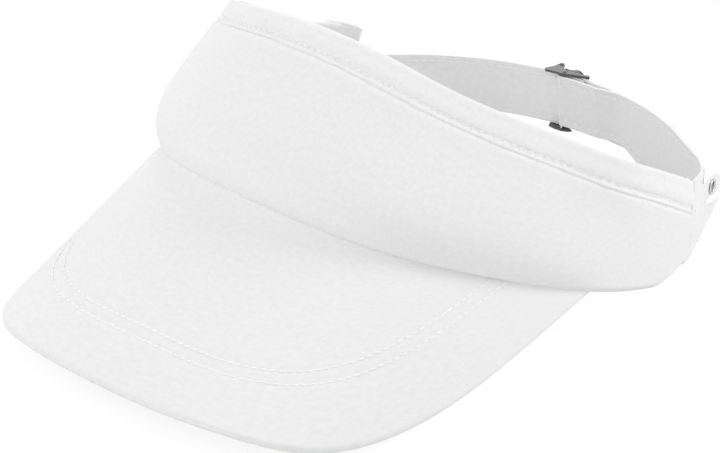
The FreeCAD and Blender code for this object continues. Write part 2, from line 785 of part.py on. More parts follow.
def eyelet():
    """The flanged barrel, pushed through from outside and rolled over the washer."""
    face = EYELET_NIP + FLANGE_THICK
    back = -EYELET_NIP - WASHER_THICK - 0.2
    flange = eyelet_rod(EYELET_FLANGE, EYELET_NIP, face)
    barrel = eyelet_rod(EYELET_HOLE + EYELET_WALL, back, face)
    return flange.fuse(barrel).cut(eyelet_rod(EYELET_HOLE, back - 1, face + 1)).removeSplitter()


def eyelet_washer():
    ring = eyelet_rod(EYELET_FLANGE - 0.3, -EYELET_NIP - WASHER_THICK, -EYELET_NIP)
    return ring.cut(eyelet_rod(EYELET_HOLE + EYELET_WALL, -3.0, 3.0))


# ---------------------------------------------------------------- thread rows

def binding_stitching():
    outer = FOLD_EASE + TWILL_THICK + THREAD_OFF
    end = CROWN_END_ANGLE - HEM_WIDTH_ANGLE - 1.6

    def point(a, share, off):
        height = crown_height(a) - BINDING_WIDTH + BINDING_ROW_INSET
        return crown_point(a, height + THREAD_WIDTH * (share - 0.5), off)
    return sheet(point, spread(-end, end, 45), [0.0, 1.0], outer + THREAD_RAISE, outer)


BRIM_ROW_TURNS = [-77, -74, -68, -60, -50, -40, -30, -20, -10, 0, 10, 20, 30, 40, 50, 60, 68, 74, 77]


def brim_stitching():
    def row(inset):
        def point(turn, share, depth):
            x, y = brim_outline(turn, inset + THREAD_WIDTH * (share - 0.5))
            return brim_point(x, y, depth)
        return sheet(point, BRIM_ROW_TURNS, [0.0, 1.0], -THREAD_OFF - THREAD_RAISE, -THREAD_OFF)
    return Part.makeCompound([row(inset) for inset in BRIM_ROWS])


def strap_stitching():
    face = strap_face() + THREAD_OFF / 2
    start = PIN_ANGLE + arc_angle(STRAP_WIDTH / 2, STRAP_RADIUS)
    rows = []
    for z in (strap_low() + STRAP_ROW_INSET, strap_high() - STRAP_ROW_INSET):
        rows.append(turned_block(start, STRAP_ROW_END_ANGLE, face, face + THREAD_RAISE,
                                 z - THREAD_WIDTH / 2, z + THREAD_WIDTH / 2))
    return Part.makeCompound(rows)


def tab_stitching():
    face = TAB_THICK / 2 + THREAD_OFF

    def row(edge):
        def point(share, across, side):
            row_up = edge * (tab_width(tab_line(share)[0]) / 2 - TAB_ROW_INSET)
            return tab_place(share, row_up + THREAD_WIDTH * (across - 0.5), side)
        return sheet(point, LEG_SHARES[2:-2], [0.0, 1.0], -face, -face - THREAD_RAISE)
    return Part.makeCompound([row(-1), row(1)])


# ---------------------------------------------------------------- standing it on the table

def place(shape):
    shape = shape.copy()
    shape.rotate(FreeCAD.Vector(0, 0, 0), FreeCAD.Vector(1, 0, 0), -REST_TILT_ANGLE)
    shape.translate(FreeCAD.Vector(0, REST_Y, REST_Z))
    return shape


PIECES = {
    "front_panel": front_panel,
    "crown_interlining": crown_interlining,
    "crown_lining": crown_lining,
    "top_binding": top_binding,
    "near_end_hem": lambda: end_hem(1),
    "far_end_hem": lambda: end_hem(-1),
    "brim_tongue": brim_tongue,
    "sweatband": sweatband,
    "brim_top_cover": brim_top_cover,
    "brim_board": brim_board,
    "brim_under_cover": brim_under_cover,
    "brim_edge_seam": brim_edge_seam,
    "buckle_tab": buckle_tab,
    "tail_keeper": tail_keeper,
    "eyelet": eyelet,
    "eyelet_washer": eyelet_washer,
    "adjusting_strap": adjusting_strap,
    "buckle_frame": buckle_frame,
    "tab_bar": tab_bar,
    "lever_pin": lever_pin,
    "buckle_lever": buckle_lever,
    "binding_stitching": binding_stitching,
    "brim_stitching": brim_stitching,
    "strap_stitching": strap_stitching,
    "tab_stitching": tab_stitching,
}

for node, build in PIECES.items():
    shape = place(build())
    shape.exportStep("parts/" + node + ".step")
    print(node, shape.isValid(), round(shape.Volume, 1))
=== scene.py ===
import bisect
import math
import random

import bmesh
import bpy
from mathutils import Matrix, Vector, noise


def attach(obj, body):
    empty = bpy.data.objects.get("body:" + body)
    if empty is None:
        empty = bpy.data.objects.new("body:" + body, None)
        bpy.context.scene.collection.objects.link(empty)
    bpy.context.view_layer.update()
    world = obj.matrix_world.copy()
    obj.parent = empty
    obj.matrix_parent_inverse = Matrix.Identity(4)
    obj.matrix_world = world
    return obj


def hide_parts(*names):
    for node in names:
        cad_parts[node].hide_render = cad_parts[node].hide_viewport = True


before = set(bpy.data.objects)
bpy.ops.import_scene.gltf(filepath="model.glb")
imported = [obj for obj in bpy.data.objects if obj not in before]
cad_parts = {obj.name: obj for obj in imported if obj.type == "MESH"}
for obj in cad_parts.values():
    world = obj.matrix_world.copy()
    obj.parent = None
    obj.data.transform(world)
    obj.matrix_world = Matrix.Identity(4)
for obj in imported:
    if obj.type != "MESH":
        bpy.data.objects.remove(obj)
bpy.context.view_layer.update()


# ------------------------------------------------------------------ front panel
# The tall cotton twill band round the forehead, cut as one shallow crescent. Its top edge is turned
# in at the seam under the top strip, and its lower edge is turned in over the root of the brim.

RING_HALF_WIDTH = 89.1
RING_HALF_LENGTH = 91.9
RING_SIDE_FLAT = 1.4
RING_SIDE_FULL = 1.35
RING_FRONT_FLAT = 2.7
RING_CORNER = 0.9
CROWN_END = 115.0
CROWN_FRONT_HEIGHT = 63.0
CROWN_END_HEIGHT = 31.0
CROWN_TAPER = 1.84
FAR_END_RISE = 4.5
FAR_RISE_START = 100.0
FAR_SAG = 1.6
FAR_SAG_MIDDLE = -92.0
FAR_SAG_SPAN = 24.0
FRONT_LEAN = 17.0
REAR_LEAN = -12.0
SWELL = 3.0
LOW_SWELL = 4.5
FOOT_SWELL = 3.2
SETTLE_START = 68.0
SETTLE_END = 86.0
CORNER_LIFT = 11.0
CORNER_SPAN = 20.0
CORNER_POWER = 2.5
NEAR_CORNER_LIFT = 15.5
NEAR_CORNER_SPAN = 18.0
NEAR_CORNER_POWER = 1.7
EDGE_WAVE = (-7.3, 9.95, -2.37)
RING_TILT = 17.4
REST_TILT = 4.25
REST_Y = 25.55
REST_Z = 17.82
AXIS_Y = 5.6
BACK_RADIUS = 94.0
STRIP_WIDTH = 9.83
STRIP_GAIN = 0.0137
STRIP_NARROWEST = -60.0
PANEL_THICK = 0.7
SEAM_TUCK = 0.4
SEAM_RIDGE = 0.35
SEAM_FOLD = 0.85
FOOT_FOLD = 1.3
PANEL_COLOUR = (0.862, 0.862, 0.866)


def sin_d(angle):
    return math.sin(math.radians(angle))


def cos_d(angle):
    return math.cos(math.radians(angle))


def ease(value, start, end):
    share = min(max((value - start) / (end - start), 0.0), 1.0)
    return share * share * (3.0 - 2.0 * share)


def dip(value, middle, half_width):
    """One at the middle of a groove or bump, falling smoothly to nothing half_width away."""
    return 1.0 - ease(abs(value - middle), 0.0, half_width)


def ring_plan(a):
    """The head ring seen along its own axis, a degrees round from the front."""
    x = RING_HALF_WIDTH * sin_d(a) - RING_SIDE_FLAT * sin_d(3 * a) + RING_SIDE_FULL * sin_d(5 * a)
    y = -RING_HALF_LENGTH * cos_d(a) + RING_FRONT_FLAT * cos_d(3 * a) + RING_CORNER * cos_d(4 * a)
    return x, y


def ring_outwards(a):
    """The way straight out of the ring's plan, a degrees round."""
    step = 0.05
    ahead = ring_plan(a + step)
    behind = ring_plan(a - step)
    along = Vector((ahead[0] - behind[0], ahead[1] - behind[1], 0.0)).normalized()
    return along.y, -along.x


def ring_edge(a):
    """How high the lower edge of the band stands above the ring's own plane."""
    rise = 1.0 - cos_d(a)
    return EDGE_WAVE[0] * rise + EDGE_WAVE[1] * rise ** 2 + EDGE_WAVE[2] * rise ** 3


def crown_height(a):
    share = (abs(a) / CROWN_END) ** CROWN_TAPER
    rise = FAR_END_RISE * ease(-a, FAR_RISE_START, CROWN_END) - FAR_SAG * dip(a, FAR_SAG_MIDDLE, FAR_SAG_SPAN)
    return CROWN_FRONT_HEIGHT + (CROWN_END_HEIGHT - CROWN_FRONT_HEIGHT) * share + rise


def strip_width(a):
    """The top strip shows a little narrower on the far side than on the near side."""
    return STRIP_WIDTH + STRIP_GAIN * max(a, STRIP_NARROWEST)


def corner_lift(a):
    """The lower corners are rounded off; the near one is drawn up by the strap's pull."""
    if a > 0:
        into = max(a - (CROWN_END - NEAR_CORNER_SPAN), 0.0) / NEAR_CORNER_SPAN
        return NEAR_CORNER_LIFT * into ** NEAR_CORNER_POWER
    into = max(-a - (CROWN_END - CORNER_SPAN), 0.0) / CORNER_SPAN
    return CORNER_LIFT * into ** CORNER_POWER


def tip_back(x, y, z):
    """From the ring's own axes to the axes of the strap's cylinder."""
    tilted_y = y * cos_d(RING_TILT) + z * sin_d(RING_TILT)
    tilted_z = z * cos_d(RING_TILT) - y * sin_d(RING_TILT)
    return Vector((x, tilted_y, tilted_z))


def crown_point(a, height, off):
    """A place on the band: a degrees round, height up from its lower edge, off out from its face.

    It swells over its whole height, low down, and at its foot, and each swell's named value is its
    greatest, in mm. Past SETTLE_START the band settles on to the strap's cylinder.
    """
    share = height / crown_height(a)
    front = (1 + cos_d(a)) / 2
    lean = REAR_LEAN + (FRONT_LEAN - REAR_LEAN) * front
    swell = SWELL * 4 * share * (1 - share) + LOW_SWELL * 6.75 * share * (1 - share) ** 2
    swell += FOOT_SWELL * 12.2 * share * (1 - share) ** 4
    out = swell * front - height * sin_d(lean) + off
    x, y = ring_plan(a)
    nx, ny = ring_outwards(a)
    place = tip_back(x + nx * out, y + ny * out, ring_edge(a) + height * cos_d(lean))
    settle = ease(abs(a), SETTLE_START, SETTLE_END)
    radius = math.hypot(place.x, place.y - AXIS_Y)
    scale = 1.0 + settle * ((BACK_RADIUS + off) / radius - 1.0)
    return Vector((place.x * scale, AXIS_Y + (place.y - AXIS_Y) * scale, place.z))


def stand(place):
    """The visor rests on its brim and its buckle: from the strap's axes to the table's, in metres."""
    y = place.y * cos_d(REST_TILT) + place.z * sin_d(REST_TILT) + REST_Y
    z = place.z * cos_d(REST_TILT) - place.y * sin_d(REST_TILT) + REST_Z
    return Vector((place.x, y, z)) / 1000.0


def rumple(place, size, depth):
    """Soft unevenness of cloth: lumps of the given size in mm, at most about depth high."""
    return depth * noise.noise(place / size, noise_basis="PERLIN_ORIGINAL")


def lay_cloth(name, columns, rows, place, run, rise):
    """A flat grid of cloth laid out by place(across, up), with its weave's UV map in metres."""
    bm = bmesh.new()
    bmesh.ops.create_grid(bm, x_segments=columns, y_segments=rows, size=0.5)
    weave = bm.loops.layers.uv.new("Weave")
    for face in bm.faces:
        for loop in face.loops:
            corner = loop.vert.co
            loop[weave].uv = ((corner.x + 0.5) * run / 1000.0, (corner.y + 0.5) * rise / 1000.0)
    for vert in bm.verts:
        vert.co = stand(place(vert.co.x + 0.5, vert.co.y + 0.5))
    return dress(name, bm)


def dress(name, bm):
    """A finished bmesh becomes an object of the scene, smooth all over."""
    mesh = bpy.data.meshes.new(name)
    for face in bm.faces:
        face.smooth = True
    bm.to_mesh(mesh)
    bm.free()
    piece = bpy.data.objects.new(name, mesh)
    bpy.context.scene.collection.objects.link(piece)
    return piece


def thicken(piece, thick, soft_edge):
    """Cloth grows inwards from its outer face, and its cut or folded edges are rounded."""
    wall = piece.modifiers.new("Thickness", "SOLIDIFY")
    wall.thickness = thick / 1000.0
    wall.offset = -1.0
    edge = piece.modifiers.new("Soft edge", "BEVEL")
    edge.width = soft_edge / 1000.0
    edge.segments = 2
    edge.limit_method = "ANGLE"
    edge.angle_limit = math.radians(55)


def fit_cloth(cloth, thick, soft_edge, material, node, body="visor"):
    """A laid-out cloth gets its thickness and finish, and stands for its node of the frame."""
    thicken(cloth, thick, soft_edge)
    cloth.data.materials.append(material)
    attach(cloth, body)
    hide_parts(node)


def add_node(tree, kind, sockets=None, **settings):
    node = tree.nodes.new(kind)
    for key, value in settings.items():
        setattr(node, key, value)
    for key, value in (sockets or {}).items():
        node.inputs[key].default_value = value
    return node


def start_material(name, sockets):
    """A new material with the shader's own settings in place."""
    material = bpy.data.materials.new(name)
    material.use_nodes = True
    tree = material.node_tree
    shader = tree.nodes["Principled BSDF"]
    for key, value in sockets.items():
        shader.inputs[key].default_value = value
    return material, tree, shader


def shade(tree, pattern, low, high):
    """Tones between two colours, following a pattern."""
    shades = add_node(tree, "ShaderNodeValToRGB")
    shades.color_ramp.elements[0].color = (*low, 1.0)
    shades.color_ramp.elements[1].color = (*high, 1.0)
    tree.links.new(pattern, shades.inputs["Fac"])
    return shades


def roughen(tree, pattern, low, high):
    """The shader's roughness, following a pattern between two levels."""
    rough = add_node(tree, "ShaderNodeMapRange", {"To Min": low, "To Max": high})
    tree.links.new(pattern, rough.inputs["Value"])
    tree.links.new(rough.outputs["Result"], tree.nodes["Principled BSDF"].inputs["Roughness"])


def emboss(tree, pattern, strength, distance, under=None, **settings):
    """Relief that follows a pattern, laid over another relief where one is given."""
    bump = add_node(tree, "ShaderNodeBump", {"Strength": strength, "Distance": distance}, **settings)
    tree.links.new(pattern, bump.inputs["Height"])
    if under:
        tree.links.new(under.outputs["Normal"], bump.inputs["Normal"])
    tree.links.new(bump.outputs["Normal"], tree.nodes["Principled BSDF"].inputs["Normal"])
    return bump


def toned(colour, share):
    """A colour made darker or lighter, white at the most."""
    return [min(channel * share, 1.0) for channel in colour]


def woven(name, colour, rib, rib_turn, relief, sheen=0.18):
    """Woven cotton: slanting ribs with painted shade in their valleys, fine fibre, a little unevenness of
    tone, a soft nap.
    """
    nap = {"Specular IOR Level": 0.25, "Sheen Weight": sheen, "Sheen Roughness": 0.45}
    material, tree, shader = start_material(name, nap)
    link = tree.links.new
    weave = add_node(tree, "ShaderNodeUVMap", uv_map="Weave")
    slant = add_node(tree, "ShaderNodeMapping", {"Rotation": (0.0, 0.0, math.radians(rib_turn))})
    link(weave.outputs["UV"], slant.inputs["Vector"])
    ribs = add_node(tree, "ShaderNodeTexWave",
                    {"Scale": 0.314 / (rib / 1000.0), "Distortion": 1.2, "Detail": 2.0, "Detail Scale": 2.0},
                    wave_type="BANDS", bands_direction="X")
    link(slant.outputs["Vector"], ribs.inputs["Vector"])
    fibre = add_node(tree, "ShaderNodeTexNoise", {"Scale": 2400.0, "Detail": 3.0, "Roughness": 0.6})
    link(weave.outputs["UV"], fibre.inputs["Vector"])
    tone = add_node(tree, "ShaderNodeTexNoise", {"Scale": 520.0, "Detail": 4.0, "Roughness": 0.55})
    link(weave.outputs["UV"], tone.inputs["Vector"])
    shades = shade(tree, tone.outputs["Fac"], toned(colour, 0.965), toned(colour, 1.03))
    shades.color_ramp.elements[0].position = 0.28
    shades.color_ramp.elements[1].position = 0.72
    # painted shade: the colour is darkened by 1.5% in the valleys between the ribs
    rib_valley_painted_shade = add_node(tree, "ShaderNodeMix", {"Factor": 0.015}, data_type="RGBA", blend_type="MULTIPLY")
    link(shades.outputs["Color"], rib_valley_painted_shade.inputs["A"])
    link(ribs.outputs["Color"], rib_valley_painted_shade.inputs["B"])
    link(rib_valley_painted_shade.outputs["Result"], shader.inputs["Base Color"])
    roughen(tree, fibre.outputs["Fac"], 0.82, 0.97)
    rib_bump = emboss(tree, ribs.outputs["Fac"], relief, 0.00018)
    emboss(tree, fibre.outputs["Fac"], 0.14, 0.00012, rib_bump)
    return material


def front_panel_place(across, up):
    a = CROWN_END * (2 * across - 1)
    low = corner_lift(a)
    seam = crown_height(a) - strip_width(a) + SEAM_TUCK
    height = low + (seam - low) * up
    from_seam = seam - height
    from_foot = height - low
    off = SEAM_RIDGE * math.exp(-(from_seam / 6.0) ** 2)
    off -= SEAM_FOLD * (1 - ease(from_seam, 0.1, 1.2)) + FOOT_FOLD * (1 - ease(from_foot, 0.0, 2.6)) ** 2
    place = crown_point(a, height, 0.0)
    quiet = 1.0 - 0.75 * ease(abs(a), 95.0, 108.0)
    off += quiet * (rumple(place, 34.0, 0.55) + rumple(place + Vector((9, 4, 1)), 9.0, 0.12))
    return crown_point(a, height, off)


twill = woven("White twill", PANEL_COLOUR, rib=0.62, rib_turn=58.0, relief=0.09)
front_panel = lay_cloth("front_panel_cloth", 300, 64, front_panel_place, run=372.0, rise=52.0)
fit_cloth(front_panel, PANEL_THICK, 0.2, twill, "front_panel")


# ------------------------------------------------------------------ interlining and lining
# A stiff non-woven ply and a plain-weave lining lie behind the front panel and keep the band
# standing. Both are cut to the panel's crescent and caught in the same seams.

INTERLINING_THICK = 0.5
LINING_THICK = 0.5
PLY_GAP = 0.1
INTERLINING_OFF = -(PANEL_THICK + PLY_GAP + 0.1)
LINING_OFF = INTERLINING_OFF - INTERLINING_THICK - PLY_GAP


def ply_place(off, end, foot, head):
    """An inner ply that stops short of the panel: foot up from its lower edge, head down from its top."""
    def place(across, up):
        a = end * (2 * across - 1)
        low = foot + corner_lift(a)
        return crown_point(a, low + (crown_height(a) - head - low) * up, off)
    return place


interlining_fleece = woven("Interlining fleece", (0.80, 0.80, 0.80), rib=1.4, rib_turn=0.0, relief=0.12,
                           sheen=0.0)
lining_weave = woven("Lining plain weave", (0.84, 0.84, 0.845), rib=0.42, rib_turn=0.0, relief=0.22)
interlining_place = ply_place(INTERLINING_OFF, end=CROWN_END - 1.5, foot=2.2, head=13.2)
interlining = lay_cloth("interlining_cloth", 120, 20, interlining_place, run=368.0, rise=48.0)
fit_cloth(interlining, INTERLINING_THICK, 0.05, interlining_fleece, "crown_interlining")
lining_place = ply_place(LINING_OFF, end=CROWN_END - 1.2, foot=1.6, head=6.0)
lining = lay_cloth("lining_cloth", 160, 30, lining_place, run=368.0, rise=55.0)
fit_cloth(lining, LINING_THICK, 0.1, lining_weave, "crown_lining")


# ------------------------------------------------------------------ top strip
# A bias strip of the same twill, seamed to the top of the panel, turned over the edge and down the
# inside. It is topstitched just above its seam, and the needle holes pull it into small puckers.

STRIP_THICK = 0.7
STRIP_ROLL = 1.25
STRIP_STITCH_UP = 2.3
STITCH_PITCH = 3.0
STRIP_END = CROWN_END - 1.3
STRIP_TUCK = 0.1
STRIP_BACK = 0.9
STRIP_OUT_ROW = -0.66
STRIP_IN_ROW = -3.17
HEM_START = 107.5
ARC_RADIUS = 93.0
KNOT_ANGLE = 106.0
KNOT_SPAN = 8.0
THREAD_GAUGE = 0.42


def strip_section(run, wide):
    """The strip seen end on, from its seam over the top to its inner hem: how far down, how far out.

    Its face is turned in at the seam, rises to a ridge on each side of the stitch row and sinks at the row.
    """
    leg = wide - STRIP_ROLL + STRIP_TUCK
    arch = math.pi * STRIP_ROLL
    length = 2 * leg + arch
    path = run * length
    if path < leg:
        down = wide + STRIP_TUCK - path
        above = wide - down
        off = -0.30 - 0.60 * ease(above, 3.0, wide) - 0.75 * (1 - ease(above, -0.1, 0.55))
        off += 0.34 * dip(above, 0.95, 0.85) - 0.42 * dip(above, STRIP_STITCH_UP, 0.95)
        off += 0.30 * dip(above, 5.2, 3.2)
        return down, off
    if path < leg + arch:
        turn = (path - leg) / STRIP_ROLL
        return STRIP_ROLL * (1 - math.sin(turn)), -STRIP_BACK - STRIP_ROLL * (1 - math.cos(turn))
    down = STRIP_ROLL + path - leg - arch
    return down, -STRIP_BACK - 2 * STRIP_ROLL + 0.25 * ease(down, 2.0, 10.0)


def pucker(along, across, reach):
    """Cloth drawn in at every needle hole of a stitch row, along and across in mm from the row."""
    pull = 0.5 + 0.5 * math.cos(2 * math.pi * along / STITCH_PITCH)
    uneven = 0.6 + 0.8 * noise.noise(Vector((along / 7.0, across / 5.0, reach)))
    return pull * uneven * dip(across, 0.0, reach)


def arc_run(a):
    """The length of band from the front to a degrees round, in mm."""
    return a * math.pi / 180.0 * ARC_RADIUS


def corner_lumps(a):
    """The uneven bulk where all the plies and the strip's end are caught in the hem."""
    return noise.noise(Vector((arc_run(a) / 2.4, 4.0, 2.0)))


def top_strip_place(across, up):
    a = STRIP_END * (2 * across - 1)
    wide = strip_width(a)
    down, off = strip_section(up, wide)
    height = crown_height(a) - down
    run = arc_run(a)
    place = crown_point(a, height, off)
    outside = 1.0 if off > -1.6 else 0.35
    row = wide - down - STRIP_STITCH_UP
    off -= 0.30 * outside * pucker(run, row, 2.2) + 0.10 * outside * pucker(run + 1.5, row - 2.0, 3.0)
    off += outside * (rumple(place, 6.0, 0.26) + rumple(place + Vector((3, 1, 7)), 2.2, 0.09))
    knots = dip(a, KNOT_ANGLE, KNOT_SPAN) * dip(down, 0.0, 4.5)
    lumps = corner_lumps(a)
    return crown_point(a, height + 1.3 * knots * max(lumps, -0.3), off + 0.6 * knots * lumps)


strip_twill = woven("Bias twill", PANEL_COLOUR, rib=0.62, rib_turn=13.0, relief=0.14)
top_strip = lay_cloth("top_strip_cloth", 760, 46, top_strip_place, run=366.0, rise=25.0)
fit_cloth(top_strip, STRIP_THICK, 0.2, strip_twill, "top_binding")


def cotton_thread(name, colour):
    """Sewing thread: two plies twisted together, in slanting bands with painted shade in the grooves between
    them.
    """
    material, tree, shader = start_material(name, {"Specular IOR Level": 0.35, "Sheen Weight": 0.25})
    place = add_node(tree, "ShaderNodeTexCoord")
    twist = add_node(tree, "ShaderNodeTexWave", {"Scale": 900.0, "Distortion": 0.6},
                     wave_type="BANDS", bands_direction="DIAGONAL")
    tree.links.new(place.outputs["Object"], twist.inputs["Vector"])
    # painted shade: the colour darkens by 4% in the grooves between the plies
    shades = shade(tree, twist.outputs["Fac"], toned(colour, 0.96), colour)
    tree.links.new(shades.outputs["Color"], shader.inputs["Base Color"])
    emboss(tree, twist.outputs["Fac"], 0.4, 0.00008)
    roughen(tree, twist.outputs["Fac"], 0.55, 0.75)
    return material


thread_white = cotton_thread("White thread", (0.97, 0.97, 0.97))


def sew(bm, line, gauge, seed):
    """Stitches along a line of places and outward directions, each a little out of true."""
    hand = random.Random(seed)
    marks = [0.0]
    for (here, _), (there, _) in zip(line, line[1:]):
        marks.append(marks[-1] + (there - here).length)
    pitch = STITCH_PITCH / 1000.0
    count = int(marks[-1] / pitch)
    spare = (marks[-1] - count * pitch) / 2
    step = 0
    for k in range(count):
        middle = spare + (k + 0.5) * pitch
        while marks[step + 1] < middle:
            step += 1
        share = (middle - marks[step]) / (marks[step + 1] - marks[step])
        place = line[step][0].lerp(line[step + 1][0], share)
        up = line[step][1].lerp(line[step + 1][1], share).normalized()
        along = (line[step + 1][0] - line[step][0]).normalized()
        across = up.cross(along).normalized()
        along = (along + across * hand.uniform(-0.07, 0.07)).normalized()
        across = up.cross(along).normalized()
        half = 0.4 * pitch * hand.uniform(0.92, 1.06)
        wide = gauge / 2000.0
        turn = Matrix((across * wide, up * wide * 0.8, along * half)).transposed().to_4x4()
        lift = Matrix.Translation(place + up * wide * 0.25)
        bmesh.ops.create_uvsphere(bm, u_segments=8, v_segments=6, radius=1.0, matrix=lift @ turn)


def stitch_rows(name, lines, node, body="visor", gauge=THREAD_GAUGE):
    """Rows of thread merged into one piece, which stands for a thread node where there is one."""
    bm = bmesh.new()
    for seed, line in enumerate(lines):
        sew(bm, line, gauge, seed + 1)
    bmesh.ops.recalc_face_normals(bm, faces=bm.faces)
    rows = dress(name, bm)
    rows.data.materials.append(thread_white)
    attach(rows, body)
    if node:
        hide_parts(node)
    return rows


def row_on(place, outside, start, end, steps):
    """A line of stitches from start to end: place gives each spot, outside a spot 1 mm out from it."""
    line = []
    for k in range(steps + 1):
        at = start + (end - start) * k / steps
        here = stand(place(at))
        line.append((here, (stand(outside(at)) - here).normalized()))
    return line


def turned_over(line):
    """The same row seen from the other face of the cloth."""
    return [(place, -out) for place, out in line]


def crown_row(height_of, off, end):
    """A row along the band, from end degrees on the far side to end degrees on the near side."""
    return row_on(lambda a: crown_point(a, height_of(a), off),
                  lambda a: crown_point(a, height_of(a), off + 1.0), -end, end, 240)


def strip_row_height(a):
    return crown_height(a) - strip_width(a) + STRIP_STITCH_UP


strip_row = crown_row(strip_row_height, STRIP_OUT_ROW, HEM_START - 3.0)
inner_row = turned_over(crown_row(strip_row_height, STRIP_IN_ROW, HEM_START - 3.0))
stitch_rows("top_strip_stitching", [strip_row, inner_row], "binding_stitching")


# ------------------------------------------------------------------ end hems
# At each end of the band the twill is folded round the raw plies and sewn down in a narrow hem,
# where the strap on the far side and the buckle tab on the near side run in.

HEM_WIDTH = CROWN_END - HEM_START
HEM_THICK = 0.7
HEM_FOLD = 1.75
HEM_PROUD = 0.30
HEM_FACE_SHARE = 0.42
HEM_FOLD_SHARE = 0.16
HEM_ROW_INSET = 1.1
HEM_ROW_PROUD = 0.34
HEM_SINK = 0.45
HEM_EDGE_SINK = 0.42
HEM_FULLNESS = 0.10
HEM_RUN = 1.6
HEM_STITCH_STEPS = 24


def hem_place(side):
    """The hem, from its edge on the band's face round the fold to its edge inside."""
    def place(up, across):
        inner_start = HEM_FACE_SHARE + HEM_FOLD_SHARE
        if across < HEM_FACE_SHARE:
            back = HEM_WIDTH * (HEM_FACE_SHARE - across) / HEM_FACE_SHARE
            off = HEM_PROUD - HEM_EDGE_SINK * ease(back, HEM_WIDTH - 1.0, HEM_WIDTH)
            off += HEM_FULLNESS * math.sin(math.pi * back / HEM_WIDTH)
        elif across > inner_start:
            back = 0.6 * HEM_WIDTH * (across - inner_start) / HEM_FACE_SHARE
            off = HEM_PROUD - 2 * HEM_FOLD
        else:
            turn = math.pi * (across - HEM_FACE_SHARE) / HEM_FOLD_SHARE
            back = -math.degrees(HEM_FOLD * math.sin(turn) / BACK_RADIUS)
            off = HEM_PROUD - HEM_FOLD + HEM_FOLD * math.cos(turn)
        a = side * (CROWN_END - back)
        low = corner_lift(a)
        top = crown_height(a) + 0.3 + 0.7 * max(corner_lumps(a), -0.3) * dip(a, KNOT_ANGLE, KNOT_SPAN)
        height = low + (top - low) * up
        spot = crown_point(a, height, off)
        if across < 0.5:
            off -= HEM_SINK * ease(height, top - 9.0, top - 1.0)
        from_row = (back - HEM_WIDTH + HEM_ROW_INSET) * HEM_RUN
        off += rumple(spot, 5.0, 0.22) - 0.12 * pucker(height, from_row, 1.8)
        return crown_point(a, height, off)
    return place


def hem_row_place(side, proud):
    """The hem's row of stitches, from 1 mm above its lower end to 1 mm below its upper end."""
    def place(share):
        a = side * (CROWN_END - HEM_WIDTH + HEM_ROW_INSET)
        low = corner_lift(a)
        height = low + 1.0 + (crown_height(a) - low - 2.0) * share
        sunk = HEM_SINK * ease(height, crown_height(a) - 8.7, crown_height(a) - 0.7)
        return crown_point(a, height, HEM_ROW_PROUD - sunk + proud)
    return place


for side, end_name in ((1, "near"), (-1, "far")):
    hem = lay_cloth(end_name + "_hem_cloth", 44, 56, hem_place(side), run=32.0, rise=17.0)
    if side > 0:
        hem.data.flip_normals()
    fit_cloth(hem, HEM_THICK, 0.2, twill, end_name + "_end_hem")
    hem_row = row_on(hem_row_place(side, 0.0), hem_row_place(side, 1.0), 0.0, 1.0, HEM_STITCH_STEPS)
    stitch_rows(end_name + "_hem_stitching", [hem_row], None)


# ------------------------------------------------------------------ sweatband and brim tongue
# Behind the forehead a looped terry band is sewn over the lining, and under it runs the tongue,
# the turned-up seam allowance that carries the brim.

TONGUE_THICK = 1.0
TONGUE_HEIGHT = 10.0
TONGUE_END = 74.0
TERRY_THICK = 1.2
TERRY_HEIGHT = 28.0
TERRY_END = 78.0
TERRY_ROW_INSET = 2.0
TERRY_PLUMP = 1.3
TONGUE_FOOT = 0.4
TERRY_FOOT = 0.3
TONGUE_OFF = LINING_OFF - LINING_THICK - PLY_GAP
TERRY_OFF = TONGUE_OFF - TONGUE_THICK - PLY_GAP
TERRY_MIDDLE = TERRY_OFF - TERRY_THICK * 0.55


def tongue_place(across, up):
    a = TONGUE_END * (2 * across - 1)
    return crown_point(a, TONGUE_FOOT + (TONGUE_HEIGHT - TONGUE_FOOT) * up, TONGUE_OFF)


def terry_place(across, up):
    """The terry is a soft strip: plump between its two stitch rows and thin at its edges."""
    a = TERRY_END * (2 * across - 1)
    height = TERRY_FOOT + (TERRY_HEIGHT - TERRY_FOOT) * up
    between = min(max((height - TERRY_ROW_INSET) / (TERRY_HEIGHT - 2 * TERRY_ROW_INSET), 0.0), 1.0)
    plump = TERRY_PLUMP * math.sin(math.pi * between) ** 0.6
    spot = crown_point(a, height, 0.0)
    loops = 0.16 * noise.noise(spot / 1.1) + 0.12 * noise.noise(spot / 2.7)
    drawn = 0.3 * pucker(arc_run(a), height - TERRY_ROW_INSET, 2.0)
    drawn += 0.3 * pucker(arc_run(a), TERRY_HEIGHT - TERRY_ROW_INSET - height, 2.0)
    inner = TERRY_MIDDLE - plump - loops + drawn
    return crown_point(a, height, max(inner, TERRY_OFF - TERRY_THICK - 1.4))


tongue_cloth = lay_cloth("brim_tongue_cloth", 100, 10, tongue_place, run=240.0, rise=10.0)
fit_cloth(tongue_cloth, TONGUE_THICK, 0.1, twill, "brim_tongue")


def looped_terry(name, colour):
    """Cotton terry: small raised loops, with painted shade darkening the hollows between them."""
    nap = {"Specular IOR Level": 0.2, "Sheen Weight": 0.5, "Sheen Roughness": 0.6}
    material, tree, shader = start_material(name, nap)
    weave = add_node(tree, "ShaderNodeUVMap", uv_map="Weave")
    loops = add_node(tree, "ShaderNodeTexVoronoi", {"Scale": 1100.0, "Randomness": 0.7}, feature="F1")
    tree.links.new(weave.outputs["UV"], loops.inputs["Vector"])
    # painted shade: the colour darkens towards the hollows between the loops
    shades = shade(tree, loops.outputs["Distance"], colour, toned(colour, 0.86))
    tree.links.new(shades.outputs["Color"], shader.inputs["Base Color"])
    emboss(tree, loops.outputs["Distance"], 0.7, 0.0005, invert=True)
    roughen(tree, loops.outputs["Distance"], 0.88, 1.0)
    return material


